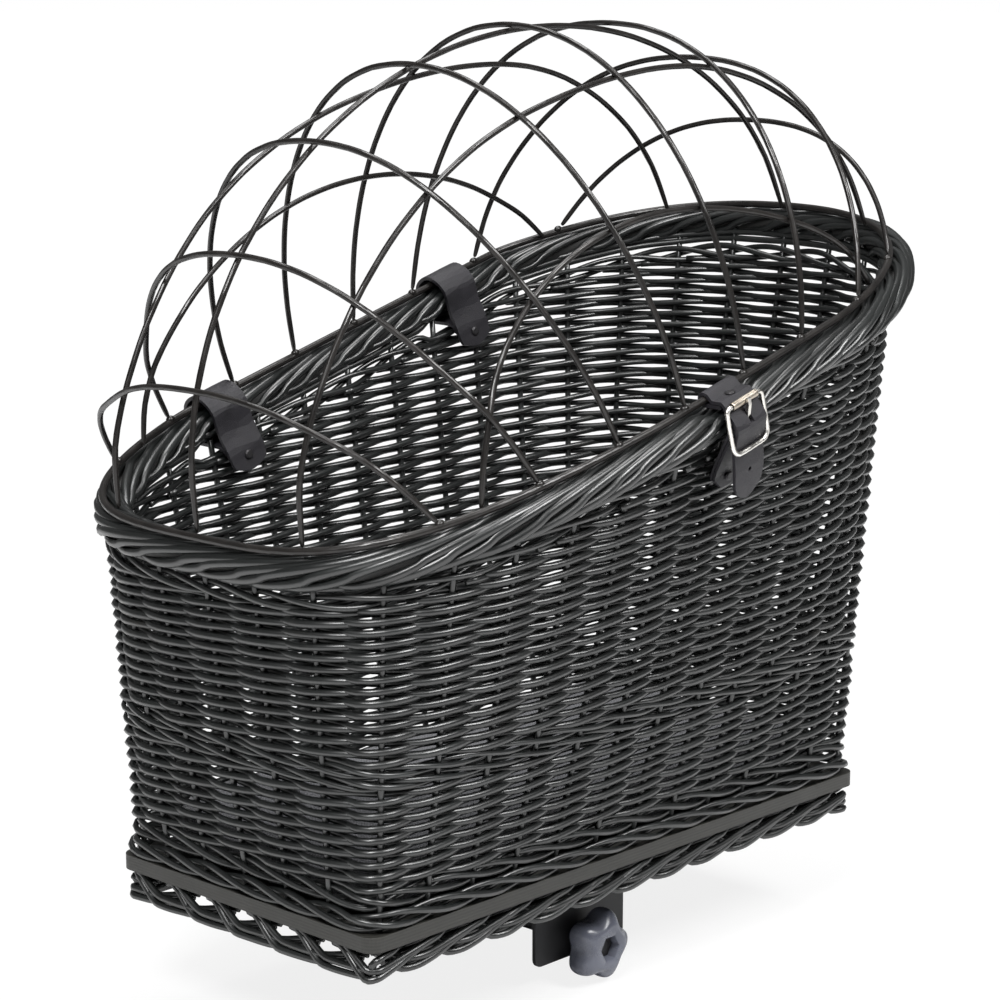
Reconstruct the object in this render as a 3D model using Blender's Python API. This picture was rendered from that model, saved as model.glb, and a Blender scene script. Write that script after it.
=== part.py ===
"""Willow dog basket for a bicycle carrier, with a hinged wire dome lid.

Metres, +Z up. +X runs to the high end of the rim and -Y is the side with
the closure strap. The origin is the middle of the underside of the clamp
rail, the face that rests on the carrier.

Pieces of the rim and the lid are drawn in the rim's own frame: u along the
basket, v across it to the hinge side, and w square to the tilted rim. A
point of a section there is (n, w), with n the distance outside the lid ring.
"""

import math

import bmesh
import bpy
import numpy as np
from mathutils import Matrix, Vector

# Clearances and shared fineness
GAP = 0.0003
CUT_OVERRUN = 0.004
ROUND_SIDES = 16
SMOOTH_ANGLE = math.radians(40)

# Wooden base board
BOARD_LENGTH = 0.426
BOARD_WIDTH = 0.211
BOARD_THICKNESS = 0.009
BOARD_CORNER_RADIUS = 0.0085

# Border woven under the board, which the basket stands on when unclamped
FOOT_HEIGHT = 0.0183
FOOT_SECTION_WIDTH = 0.012
FOOT_INSET = 0.0012
FOOT_SECTION_SHARES = (
    (0.0, 0.28), (0.0, 0.72), (0.22, 1.0), (0.78, 1.0), (1.0, 0.72), (1.0, 0.28), (0.78, 0.0), (0.22, 0.0),
)
SEAT_TO_FOOT = 0.002

# Woven walls
WALL_THICKNESS = 0.009
WALL_EDGE_INSET = 0.0018
WALL_CORNER_RADIUS = 0.0115
UPSETT_HEIGHT = 0.022
UPSETT_FLARE = 0.0036
WALE_RELIEF = 0.0012
MID_WALE_RISE = 0.078
MID_WALE_HEIGHT = 0.014
RIM_WALE_HEIGHT = 0.0105
RIM_WALE_RELIEF = 0.0012
WALL_TOP_SHIFT = -0.0005

# Lid ring, in plan: an egg whose two sides are straight
RING_LENGTH = 0.5264
RING_SPREAD = 0.1648
RING_TAPER_SHARE = 0.0928
LOW_END_EXPONENT = 3.53
HIGH_END_EXPONENT = 2.30
NEAR_HALF_WIDTH = 0.1615
FAR_HALF_WIDTH = 0.1525
STRAIGHT_EASE_SHARE = 0.003
RING_WIRE_RADIUS = 0.0021
RING_SIDES = 8
RING_STATIONS = 96

# Place and tilt of the rim
RIM_SHIFT = 0.012
RIM_RISE = 0.3054
RIM_TILT = math.radians(15.84)

# Plaited border on the rim: how far it reaches from the lid ring
BORDER_IN = 0.012
BORDER_OUT = 0.012
BORDER_SHIFT = 0.004
BORDER_HEIGHT = 0.0216
BORDER_OUTLINE_SHARES = (
    (-0.88, -0.93), (-1.00, -0.72), (-1.00, -0.28), (-0.76, -0.06), (-0.42, 0.00),
    (0.22, 0.00), (0.62, -0.08), (0.92, -0.28), (1.00, -0.54), (0.90, -0.80),
    (0.58, -0.96), (-0.40, -1.00),
)

# Wire dome
DOME_HEIGHT = 0.1928
DOME_TAPER_SHARE = 0.053
DOME_PLAN_EXPONENT = 2.315
DOME_CROWN_EXPONENT = 2.03
DOME_SHOULDER_EXPONENT = 1.845
HOOP_WIRE_RADIUS = 0.00165
HOOP_SIDES = 6
HOOP_SEGMENTS = 18
HOOP_LAYER_DROP = 0.0040
ACROSS_FOOT_SHARES = (-0.7815, -0.5655, -0.3578, -0.1606, 0.0369, 0.2409, 0.4644, 0.7121)
ACROSS_LEAN_SHARES = (0.135, 0.907, 0.162)
SIDE_HOOP_HEIGHT = 0.1015
SIDE_HOOP_SKEW_SHARE = 0.15
SIDE_HOOP_EXPONENT = 0.68
NEAR_SIDE_HOOP_SHARES = (-0.688, 0.570)
FAR_SIDE_HOOP_SHARES = (-0.690, 0.665)
INNER_HOOP_SHARES = (0.455, 0.490)

# Leather hinge straps on the far side
HINGE_STRAP_WIDTH = 0.0275
HINGE_STRAP_THICKNESS = 0.0022
HINGE_STRAP_PLACE_SHARES = (-0.4255, 0.353)
HINGE_STRAP_BULGE = 0.0056
HINGE_FRONT_LENGTH = 0.044
HINGE_BACK_LENGTH = 0.040
HINGE_WALL_CLEARANCE = 0.0034
HINGE_RIVET_DROP = 0.0350

# Closure strap on the near side
CLOSURE_PLACE = -0.0135
BILLET_WIDTH = 0.0255
BILLET_THICKNESS = 0.0022
BILLET_TIP_DROP = 0.0625
BILLET_TIP_OFFSET = 0.0065
BILLET_HOLE_RADIUS = 0.0013
BILLET_SPARE_HOLE_DROP = 0.0445
BILLET_RIVET_OFFSET = 0.0083
BILLET_LAP = 0.0108

# Roller buckle with a centre bar
BUCKLE_WIRE_RADIUS = 0.0015
BUCKLE_WIDTH = 0.031
BUCKLE_HEIGHT = 0.028
BUCKLE_CORNER_RADIUS = 0.006
BUCKLE_DROP = 0.003
CENTRE_BAR_RADIUS = 0.00125
CENTRE_BAR_SETBACK = 0.0016
CENTRE_BAR_DROP = 0.0135
ROLLER_WALL = 0.0004
PRONG_WIDTH = 0.0024
PRONG_THICKNESS = 0.0018
PRONG_EYE_WALL = 0.0015

# Leather chape that ties the buckle to the wall
CHAPE_WIDTH = 0.0235
CHAPE_THICKNESS = 0.0016
CHAPE_END_DROP = 0.056
CHAPE_RIVET_DROP = 0.049

# Rivets and their washer
RIVET_SHANK_RADIUS = 0.0015
RIVET_HEAD_RADIUS = 0.0030
RIVET_HEAD_HEIGHT = 0.0009
RIVET_SIDES = 12
WASHER_RADIUS = 0.0048
WASHER_THICKNESS = 0.0008

# Cushion
CUSHION_SIDE_CLEARANCE = 0.0035
CUSHION_HEIGHT = 0.042
CUSHION_CORNER_RADIUS = 0.030
CUSHION_DRAW_IN = 0.005
CUSHION_STATIONS = 48
CUSHION_PROFILE_SHARES = (
    (0.45, 0.00), (0.88, 0.00), (0.955, 0.06), (0.992, 0.24), (1.000, 0.42),
    (0.985, 0.60), (0.930, 0.77), (0.820, 0.88), (0.640, 0.95), (0.400, 0.985), (0.180, 1.00),
)

# Clamp rail under the board
RAIL_WIDTH = 0.060
RAIL_END_CLEARANCE = 0.0083
RAIL_SHEET = 0.0025
RAIL_FLANGE = 0.017

# Clamp jaws, one fixed and one sliding
JAW_WIDTH = 0.078
JAW_SHEET = 0.003
JAW_DROP = 0.046
JAW_GRIP_SPACING = 0.117
JAW_TOP_CLEARANCE = 0.0008
JAW_NECK_WIDTH = 0.030
JAW_TONGUE_WIDTH = 0.050
JAW_TONGUE_LENGTH = 0.024
JAW_CORNER_RADIUS = 0.005
JAW_CLOSING_TRAVEL = 0.010
JAW_OPENING_TRAVEL = 0.0025

# Clamp bolt and its star knob
BOLT_RADIUS = 0.004
BOLT_DROP = 0.0375
BOLT_HOLE_CLEARANCE = 0.0004
BOLT_HEAD_FLATS = 0.013
BOLT_HEAD_HEIGHT = 0.0053
BOLT_NEAR_REACH = 0.080
KNOB_RADIUS = 0.0215
KNOB_DEPTH = 0.022
KNOB_LOBES = 5
KNOB_LOBE_DEPTH = 0.0052
KNOB_POCKET_DEPTH = 0.0125
KNOB_STATIONS = 60
KNOB_NUT_HEIGHT = 0.0065
KNOB_NUT_CLEARANCE = 0.0003
KNOB_WASHER_RADIUS = 0.009
KNOB_WASHER_THICKNESS = 0.0016
KNOB_PROFILE_SHARES = (
    (0.50, 0.00), (0.56, 0.10), (0.86, 0.20), (0.98, 0.38),
    (1.00, 0.58), (0.90, 0.78), (0.68, 0.94), (0.48, 1.00),
)

# Screws that hold the rail to the board
SCREW_RADIUS = 0.0025
SCREW_HEAD_RADIUS = 0.0048
SCREW_HEAD_HEIGHT = 0.0025
SCREW_SPACING_Y = 0.110
SCREW_NUT_FLATS = 0.008
SCREW_NUT_HEIGHT = 0.004
SCREW_END = 0.0018
SCREW_SIDES = 12

# Heights worked out from the sizes above
FOOT_BOTTOM = SEAT_TO_FOOT
RAIL_LENGTH = BOARD_WIDTH - 2 * (FOOT_INSET + FOOT_SECTION_WIDTH + RAIL_END_CLEARANCE)
BOARD_BOTTOM = FOOT_BOTTOM + FOOT_HEIGHT + GAP
BOARD_TOP = BOARD_BOTTOM + BOARD_THICKNESS
WALL_BOTTOM = BOARD_TOP + GAP
RIM_HEIGHT = FOOT_BOTTOM + RIM_RISE
HALF_RING = RING_LENGTH / 2
BORDER_TOP = -(RING_WIRE_RADIUS + GAP)
BORDER_BOTTOM = BORDER_TOP - BORDER_HEIGHT
BUCKLE_OUT = BORDER_OUT + GAP + BILLET_THICKNESS + GAP + BUCKLE_WIRE_RADIUS + GAP + ROLLER_WALL + GAP / 2
ROLLER_RADIUS = BUCKLE_WIRE_RADIUS + GAP + ROLLER_WALL


def clear_scene():
    """Remove every object that the open file starts with."""
    for obj in list(bpy.data.objects):
        bpy.data.objects.remove(obj, do_unlink=True)


def make_material(name, colour, roughness, metallic=0.0):
    """A Principled material of one colour."""
    mat = bpy.data.materials.new(name)
    mat.use_nodes = True
    shader = mat.node_tree.nodes["Principled BSDF"]
    shader.inputs["Base Color"].default_value = (*colour, 1.0)
    shader.inputs["Roughness"].default_value = roughness
    shader.inputs["Metallic"].default_value = metallic
    mat.diffuse_color = (*colour, 1.0)
    return mat


def make_object(name, verts, faces, mat, parent=None, location=(0, 0, 0), rotation=(0, 0, 0), smooth=True):
    """A closed mesh object whose faces point outwards."""
    bm = bmesh.new()
    made = [bm.verts.new(v) for v in verts]
    for face in faces:
        bm.faces.new([made[i] for i in face])
    return object_from_bmesh(name, bm, mat, parent, location, rotation, smooth)


def object_from_bmesh(name, bm, mat, parent=None, location=(0, 0, 0), rotation=(0, 0, 0), smooth=True):
    """An object with the bmesh's faces turned outwards and shaded."""
    bmesh.ops.recalc_face_normals(bm, faces=bm.faces[:])
    mesh = bpy.data.meshes.new(name)
    bm.to_mesh(mesh)
    bm.free()
    if smooth:
        mesh.shade_smooth()
        mesh.set_sharp_from_angle(angle=SMOOTH_ANGLE)
    if mat is not None:
        mesh.materials.append(mat)
    obj = bpy.data.objects.new(name, mesh)
    bpy.context.scene.collection.objects.link(obj)
    obj.parent = parent
    obj.location = location
    obj.rotation_euler = rotation
    return obj


def make_empty(name, location, rotation=(0, 0, 0), parent=None):
    """An empty that carries other objects."""
    empty = bpy.data.objects.new(name, None)
    bpy.context.scene.collection.objects.link(empty)
    empty.parent = parent
    empty.location = location
    empty.rotation_euler = rotation
    return empty


def loft(sections, closed_run, closed_section=True):
    """Vertices and faces that join a run of sections with equal point counts."""
    sections = np.asarray(sections, float)
    count, size = sections.shape[:2]
    verts = sections.reshape(-1, 3)
    faces = []
    for i in range(count if closed_run else count - 1):
        for j in range(size):
            a = i * size + j
            b = i * size + (j + 1) % size
            c = ((i + 1) % count) * size + (j + 1) % size
            d = ((i + 1) % count) * size + j
            faces.append((a, b, c, d))
    if not closed_run and closed_section:
        faces.append(tuple(range(size)))
        faces.append(tuple((count - 1) * size + j for j in range(size)))
    return [tuple(v) for v in verts], faces


def tube_sections(points, radius, sides, closed=False):
    """Round sections carried along a line of points without twist."""
    points = np.asarray(points, float)
    if closed:
        ahead = np.roll(points, -1, axis=0)
        behind = np.roll(points, 1, axis=0)
        tangents = ahead - behind
    else:
        tangents = np.gradient(points, axis=0)
    tangents /= np.linalg.norm(tangents, axis=1)[:, None]
    reference = np.array((0.0, 0.0, 1.0))
    if abs(tangents[0] @ reference) > 0.9:
        reference = np.array((1.0, 0.0, 0.0))
    side = np.cross(tangents[0], reference)
    side /= np.linalg.norm(side)
    angles = (np.arange(sides) + 0.5) * 2 * math.pi / sides
    sections = []
    for point, tangent in zip(points, tangents):
        side = side - tangent * (side @ tangent)
        side /= np.linalg.norm(side)
        other = np.cross(tangent, side)
        ring = point + radius * (np.outer(np.cos(angles), side) + np.outer(np.sin(angles), other))
        sections.append(ring)
    return np.array(sections)


def circle(radius, sides, phase=0.0):
    """Points of a regular polygon inside a circle."""
    angles = phase + np.arange(sides) * 2 * math.pi / sides
    return np.stack((radius * np.cos(angles), radius * np.sin(angles)), axis=1)


def hexagon(flats, stations):
    """Points along a hexagon, given across its flats, at even angles."""
    angles = np.arange(stations) * 2 * math.pi / stations
    sector = math.pi / 3
    from_flat = np.mod(angles, sector) - sector / 2
    radius = flats / 2 / np.cos(from_flat)
    return np.stack((radius * np.cos(angles), radius * np.sin(angles)), axis=1)


def turned(rings):
    """Loft plane rings of points, each with its own height along Z."""
    return np.array([np.column_stack((ring, np.full(len(ring), height))) for ring, height in rings])


def rounded_rectangle(half_x, half_y, radius, corner_steps, side_steps=(1, 1)):
    """Counter-clockwise outline from the middle of the +X side."""
    centre_x = half_x - radius
    centre_y = half_y - radius
    steps_x, steps_y = side_steps
    points = []
    signs = ((1, 1), (-1, 1), (-1, -1), (1, -1))
    centres = [np.array((x * centre_x, y * centre_y)) for x, y in signs]
    for quarter, centre in enumerate(centres):
        for k in range(corner_steps + 1):
            angle = (quarter + k / corner_steps) * math.pi / 2
            points.append(centre + radius * np.array((math.cos(angle), math.sin(angle))))
        along = steps_x if quarter % 2 == 0 else steps_y
        side = centres[(quarter + 1) % 4] - centre
        last = points[-1]
        for k in range(1, along):
            points.append(last + side * k / along)
    points = np.array(points)
    start = int(np.argmin(np.abs(points[:, 1]) - points[:, 0]))
    return np.roll(points, -start, axis=0)


def resample(points, shares):
    """Points of a closed outline at the given shares of its length."""
    ring = np.vstack((points, points[:1]))
    lengths = np.concatenate(((0,), np.cumsum(np.linalg.norm(np.diff(ring, axis=0), axis=1))))
    goal = np.mod(shares, 1.0) * lengths[-1]
    return np.stack([np.interp(goal, lengths, ring[:, i]) for i in range(2)], axis=1)


def outward(points):
    """Unit outward normals of a closed counter-clockwise outline."""
    tangents = np.roll(points, -1, axis=0) - np.roll(points, 1, axis=0)
    tangents /= np.linalg.norm(tangents, axis=1)[:, None]
    return np.stack((tangents[:, 1], -tangents[:, 0]), axis=1)


def end_exponent(u):
    """How square the ring is on the end that a place lies towards."""
    return np.where(np.asarray(u) < 0, LOW_END_EXPONENT, HIGH_END_EXPONENT)


def spread(u):
    """Half-width of the ring's egg before its ends are rounded."""
    return RING_SPREAD * (1 + RING_TAPER_SHARE * np.asarray(u) / HALF_RING)


def full_half_width(u):
    """Half-width of the ring's egg at a place along it."""
    share = np.clip(np.abs(u) / HALF_RING, 0, 1)
    exponent = end_exponent(u)
    return spread(u) * (1 - share ** exponent) ** (1 / exponent)


def half_width(u, limit):
    """Half-width of one side of the ring, the egg eased into a straight line."""
    value = full_half_width(u)
    ease = STRAIGHT_EASE_SHARE * limit
    over = np.clip(value - (limit - ease), 0, 2 * ease)
    eased = value - over ** 2 / (4 * ease)
    return np.where(value > limit + ease, limit, eased)


def side_half_width(u, v):
    """The ring's half-width on the side that a point is on."""
    return np.where(np.asarray(v) > 0, half_width(u, FAR_HALF_WIDTH), half_width(u, NEAR_HALF_WIDTH))


def ring_outline(stations):
    """The lid ring's centre line in (u, v), at even steps or given shares of its length."""
    fine = 1440
    angles = np.arange(fine) * 2 * math.pi / fine
    cosine = np.cos(angles)
    u = HALF_RING * np.sign(cosine) * np.abs(cosine) ** (2 / end_exponent(cosine))
    side = np.where(angles <= math.pi, 1, -1)
    dense = np.stack((u, side * side_half_width(u, side)), axis=1)
    if np.ndim(stations) == 0:
        stations = np.arange(stations) / stations
    return resample(dense, np.asarray(stations))


def border_plan(stations):
    """Middle line of the rim's border, a little further to the high end than the ring."""
    return ring_outline(stations) + np.array((BORDER_SHIFT, 0.0))


def rim_to_world(u, v, w):
    """World place of a point in the rim's frame."""
    cosine = math.cos(RIM_TILT)
    sine = math.sin(RIM_TILT)
    return np.stack((RIM_SHIFT + u * cosine - w * sine, v, RIM_HEIGHT + u * sine + w * cosine), axis=-1)


def world_to_depth(points):
    """The rim frame's w of world points."""
    return -(points[..., 0] - RIM_SHIFT) * math.sin(RIM_TILT) + (points[..., 2] - RIM_HEIGHT) * math.cos(RIM_TILT)


class WallSurface:
    """Middle surface of the wall, ruled from the board's edge to the rim."""

    def __init__(self):
        inset = WALL_EDGE_INSET + WALL_THICKNESS / 2
        half_x = BOARD_LENGTH / 2 - inset
        half_y = BOARD_WIDTH / 2 - inset
        base = rounded_rectangle(half_x, half_y, WALL_CORNER_RADIUS, 4, (12, 6))
        ring = np.vstack((base, base[:1]))
        lengths = np.concatenate(((0,), np.cumsum(np.linalg.norm(np.diff(ring, axis=0), axis=1))))
        shares = lengths[:-1] / lengths[-1]
        top = border_plan(shares)
        top_normal = outward(top)
        top = top + WALL_TOP_SHIFT * top_normal
        self.low = np.column_stack((base, np.full(len(base), WALL_BOTTOM)))
        self.high = rim_to_world(top[:, 0], top[:, 1], np.zeros(len(top)))
        self.low_normal = outward(base)
        self.high_normal = top_normal
        self.count = len(base)

    def points(self, share, offset):
        """Points at a share of the way up, moved out level by an offset."""
        share = np.broadcast_to(share, (self.count,))[:, None]
        middle = self.low + (self.high - self.low) * share
        normal = self.low_normal + (self.high_normal - self.low_normal) * share
        normal = normal / np.linalg.norm(normal, axis=1)[:, None]
        return middle + offset * np.column_stack((normal, np.zeros(self.count)))

    def at_height(self, height, offset):
        """Points of one level height."""
        share = (height - WALL_BOTTOM) / (self.high[:, 2] - WALL_BOTTOM)
        return self.points(share, offset)

    def at_depth(self, depth, offset):
        """Points in the plane that lies a depth below the tilted rim."""
        share = np.ones(self.count)
        for _ in range(6):
            error = world_to_depth(self.points(share, offset)) - depth
            rise = world_to_depth(self.high) - world_to_depth(self.low)
            share = share - error / rise
        return self.points(share, offset)


def wall_offset(depth, place, half_width_top):
    """Where the middle of a long wall lies outside the lid ring, at a depth."""
    half_low = BOARD_WIDTH / 2 - WALL_EDGE_INSET - WALL_THICKNESS / 2
    height = RIM_HEIGHT + place * math.sin(RIM_TILT) - depth * math.cos(RIM_TILT)
    along = place * math.cos(RIM_TILT) + depth * math.sin(RIM_TILT)
    top_height = RIM_HEIGHT + along * math.tan(RIM_TILT)
    share = (height - WALL_BOTTOM) / (top_height - WALL_BOTTOM)
    return half_low + (half_width_top + WALL_TOP_SHIFT - half_low) * share - half_width_top


def make_band(name, rows, mat):
    """A wall band round the basket from rows of points, taken round its section."""
    sections = np.stack(rows, axis=1)
    verts, faces = loft(sections, closed_run=True)
    return make_object(name, verts, faces, mat)


def add_cut(target, cutter, operation="DIFFERENCE"):
    """Cut one object with another, which the part itself leaves out."""
    cutter.hide_render = True
    cutter.display_type = "WIRE"
    cut = target.modifiers.new(cutter.name, "BOOLEAN")
    cut.object = cutter
    cut.operation = operation
    cut.solver = "EXACT"


def make_box(name, low, high, mat=None, parent=None):
    """A box between two corners."""
    bm = bmesh.new()
    bmesh.ops.create_cube(bm, size=1.0)
    size = Vector(high) - Vector(low)
    bmesh.ops.scale(bm, vec=size, verts=bm.verts[:])
    return object_from_bmesh(name, bm, mat, parent, (Vector(low) + Vector(high)) / 2, smooth=False)


def make_rod(name, radius, length, sides, mat=None, parent=None, location=(0, 0, 0), rotation=(0, 0, 0)):
    """A round bar centred on its location, along its own Z."""
    rings = [(circle(radius, sides), -length / 2), (circle(radius, sides), length / 2)]
    verts, faces = loft(turned(rings), closed_run=False)
    return make_object(name, verts, faces, mat, parent, location, rotation)


def make_plate(name, outline, holes, thickness, mat, parent=None, location=(0, 0, 0), rotation=(0, 0, 0),
               smooth=False):
    """A flat plate of the outline with holes through it, centred on its middle plane."""
    bm = bmesh.new()
    edges = []
    for loop in [outline, *holes]:
        made = [bm.verts.new((x, y, -thickness / 2)) for x, y in loop]
        edges += [bm.edges.new((made[i], made[(i + 1) % len(made)])) for i in range(len(made))]
    bmesh.ops.triangle_fill(bm, use_beauty=True, use_dissolve=False, edges=edges)
    grown = bmesh.ops.extrude_face_region(bm, geom=bm.faces[:])
    moved = [item for item in grown["geom"] if isinstance(item, bmesh.types.BMVert)]
    bmesh.ops.translate(bm, vec=(0, 0, thickness), verts=moved)
    return object_from_bmesh(name, bm, mat, parent, location, rotation, smooth)


def arc(centre, radius, start, end, steps):
    """Points along an arc, with its angles in degrees."""
    angles = np.radians(np.linspace(start, end, steps + 1))
    return [(centre[0] + radius * math.cos(a), centre[1] + radius * math.sin(a)) for a in angles]


def path_normals(path):
    """Left-hand unit normals of an open path in its plane."""
    path = np.asarray(path, float)
    runs = np.diff(path, axis=0)
    runs /= np.linalg.norm(runs, axis=1)[:, None]
    lefts = np.stack((-runs[:, 1], runs[:, 0]), axis=1)
    first = lefts[:1]
    last = lefts[-1:]
    inner = lefts[:-1] + lefts[1:]
    inner /= (1 + np.sum(lefts[:-1] * lefts[1:], axis=1))[:, None]
    return np.vstack((first, inner, last))


def offset_path(path, distance):
    """The path moved to its left by a distance."""
    return np.asarray(path, float) + distance * path_normals(path)


def lengths_along(path):
    """Distance of each point from the path's start."""
    return np.concatenate(((0,), np.cumsum(np.linalg.norm(np.diff(path, axis=0), axis=1))))


def strap_sections(path, half_widths, thickness, place, ring_half_width, side):
    """Sections of a flat strap whose middle follows (n, w) points of the rim's frame.

    side is +1 on the hinge side and -1 on the near side.
    """
    path = np.asarray(path, float)
    normals = path_normals(path)
    sections = []
    for point, normal, half in zip(path, normals, half_widths):
        front = point + normal * thickness / 2
        back = point - normal * thickness / 2
        corners = []
        for shift, (n, w) in ((-half, front), (half, front), (half, back), (-half, back)):
            corners.append((place + shift, side * (ring_half_width + n), w))
        sections.append(corners)
    return np.array(sections)


def make_strap(name, path, half_widths, thickness, place, ring_half_width, side, mat, parent, origin=(0, 0, 0)):
    """A leather strap as one solid of even thickness."""
    sections = strap_sections(path, half_widths, thickness, place, ring_half_width, side) - np.array(origin)
    verts, faces = loft(sections, closed_run=False)
    return make_object(name, verts, faces, mat, parent, smooth=True)


def end_widths(path, half_width, start_length, start_share, end_length, end_share):
    """Half-widths along a strap that narrow towards either end by an ellipse."""
    along = lengths_along(np.asarray(path, float))
    total = along[-1]
    from_start = np.clip(along / start_length, 0, 1)
    from_end = np.clip((total - along) / end_length, 0, 1)
    start = start_share + (1 - start_share) * np.sqrt(1 - (1 - from_start) ** 2)
    end = end_share + (1 - end_share) * np.sqrt(1 - (1 - from_end) ** 2)
    return half_width * np.minimum(start, end)


def refine(path, step):
    """The path with points added so that no run is longer than a step."""
    path = np.asarray(path, float)
    refined = [path[0]]
    for a, b in zip(path[:-1], path[1:]):
        count = max(1, math.ceil(np.linalg.norm(b - a) / step - 1e-6))
        refined += [a + (b - a) * k / count for k in range(1, count + 1)]
    return np.array(refined)


def rivet_rings(grip):
    """Turned outline of a rivet: a head, a shank of the grip's length, a head."""
    head = circle(RIVET_HEAD_RADIUS, RIVET_SIDES)
    crown = circle(RIVET_HEAD_RADIUS * 2 / 3, RIVET_SIDES)
    shank = circle(RIVET_SHANK_RADIUS, RIVET_SIDES)
    low = -grip / 2
    high = grip / 2
    edge = RIVET_HEAD_HEIGHT / 3
    return turned([
        (crown, low - RIVET_HEAD_HEIGHT), (head, low - edge), (head, low), (shank, low),
        (shank, high), (head, high), (head, high + edge), (crown, high + RIVET_HEAD_HEIGHT),
    ])


def section_point(n, w, place, ring_half_width, side):
    """Rim-frame place of a section point."""
    return Vector((place, side * (ring_half_width + n), w))


def axis_rotation(direction_n, direction_w, side):
    """Rotation that turns Z to a direction of the section plane."""
    return Vector((0, side * direction_n, direction_w)).to_track_quat("Z", "X").to_euler()


def make_board(willow_wood):
    """The plywood board with the countersunk holes of its four screws."""
    outline = rounded_rectangle(BOARD_LENGTH / 2, BOARD_WIDTH / 2, BOARD_CORNER_RADIUS, 6)
    board = make_plate("base_board", outline, [], BOARD_THICKNESS, willow_wood,
                       location=(0, 0, BOARD_BOTTOM + BOARD_THICKNESS / 2))
    for index, (x, y) in enumerate(screw_places()):
        rings = turned([
            (circle(SCREW_RADIUS + GAP, SCREW_SIDES), BOARD_BOTTOM - CUT_OVERRUN),
            (circle(SCREW_RADIUS + GAP, SCREW_SIDES), BOARD_TOP - SCREW_HEAD_HEIGHT - GAP),
            (circle(SCREW_HEAD_RADIUS + GAP, SCREW_SIDES), BOARD_TOP - GAP),
            (circle(SCREW_HEAD_RADIUS + GAP, SCREW_SIDES), BOARD_TOP + CUT_OVERRUN),
        ])
        verts, faces = loft(rings, closed_run=False)
        cutter = make_object(f"screw_hole_{index + 1}", verts, faces, None, location=(x, y, 0))
        add_cut(board, cutter)
    return board


def make_foot_border(willow):
    """The border woven under the board from the ends of the stakes."""
    half_x = BOARD_LENGTH / 2 - FOOT_INSET
    half_y = BOARD_WIDTH / 2 - FOOT_INSET
    section = FOOT_SECTION_WIDTH
    outline = rounded_rectangle(half_x, half_y, BOARD_CORNER_RADIUS - FOOT_INSET / 2, 4, (12, 6))
    inner = rounded_rectangle(half_x - section, half_y - section, BOARD_CORNER_RADIUS / 2, 4, (12, 6))
    rows = []
    for inward_share, height_share in FOOT_SECTION_SHARES:
        plan = outline + (inner - outline) * inward_share
        rows.append(np.column_stack((plan, np.full(len(plan), FOOT_BOTTOM + height_share * FOOT_HEIGHT))))
    make_band("foot_border", rows, willow)


def wale_rows(low, middle, high, relief):
    """Section rows of a wale that stands proud of the wall on both faces."""
    half = WALL_THICKNESS / 2
    return [low(half), middle(half + relief), high(half), high(-half), middle(-half - relief), low(-half)]


def make_walls(willow):
    """The five woven bands of the wall, from the board up to the rim's border."""
    wall = WallSurface()
    half = WALL_THICKNESS / 2
    upsett_top = WALL_BOTTOM + UPSETT_HEIGHT
    make_band("upsett_wale", [
        wall.at_height(WALL_BOTTOM, half + UPSETT_FLARE),
        wall.at_height((WALL_BOTTOM + upsett_top) / 2, half + UPSETT_FLARE),
        wall.at_height(upsett_top, half), wall.at_height(upsett_top, -half),
        wall.at_height((WALL_BOTTOM + upsett_top) / 2, -half - WALE_RELIEF),
        wall.at_height(WALL_BOTTOM, -half),
    ], willow)
    mid_low = WALL_BOTTOM + MID_WALE_RISE
    mid_high = mid_low + MID_WALE_HEIGHT
    make_band("lower_wall", [
        wall.at_height(upsett_top + GAP, half), wall.at_height(mid_low - GAP, half),
        wall.at_height(mid_low - GAP, -half), wall.at_height(upsett_top + GAP, -half),
    ], willow)
    make_band("mid_wale", wale_rows(
        lambda offset: wall.at_height(mid_low, offset),
        lambda offset: wall.at_height((mid_low + mid_high) / 2, offset),
        lambda offset: wall.at_height(mid_high, offset), WALE_RELIEF), willow)
    wale_top = BORDER_BOTTOM - GAP
    wale_bottom = wale_top - RIM_WALE_HEIGHT
    upper = make_band("upper_wall", [
        wall.at_height(mid_high + GAP, half), wall.at_depth(wale_bottom - GAP, half),
        wall.at_depth(wale_bottom - GAP, -half), wall.at_height(mid_high + GAP, -half),
    ], willow)
    rim_wale = make_band("rim_wale", wale_rows(
        lambda offset: wall.at_depth(wale_bottom, offset),
        lambda offset: wall.at_depth((wale_top + wale_bottom) / 2, offset),
        lambda offset: wall.at_depth(wale_top, offset), RIM_WALE_RELIEF), willow)
    return upper, rim_wale


def border_outline():
    """Section of the rim's border in (n, w)."""
    half = (BORDER_IN + BORDER_OUT) / 2
    middle = (BORDER_OUT - BORDER_IN) / 2
    return [(middle + x * half, BORDER_TOP + y * BORDER_HEIGHT) for x, y in BORDER_OUTLINE_SHARES]


def make_rim_border(willow, rim_frame):
    """The plaited border along the rim, just under the lid ring."""
    plan = border_plan(RING_STATIONS)
    normals = outward(plan)
    rows = []
    for n, w in border_outline():
        rows.append(np.column_stack((plan + n * normals, np.full(len(plan), w))))
    verts, faces = loft(np.stack(rows, axis=1), closed_run=True)
    return make_object("rim_border", verts, faces, willow, rim_frame)


def make_lid_ring(wire, lid_axis):
    """The closed wire ring that lies on the border."""
    plan = ring_outline(RING_STATIONS)
    centre = np.column_stack((plan[:, 0], plan[:, 1] - FAR_HALF_WIDTH, np.zeros(len(plan))))
    sections = tube_sections(centre, RING_WIRE_RADIUS, RING_SIDES, closed=True)
    verts, faces = loft(sections, closed_run=True)
    make_object("lid_ring", verts, faces, wire, lid_axis)


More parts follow.
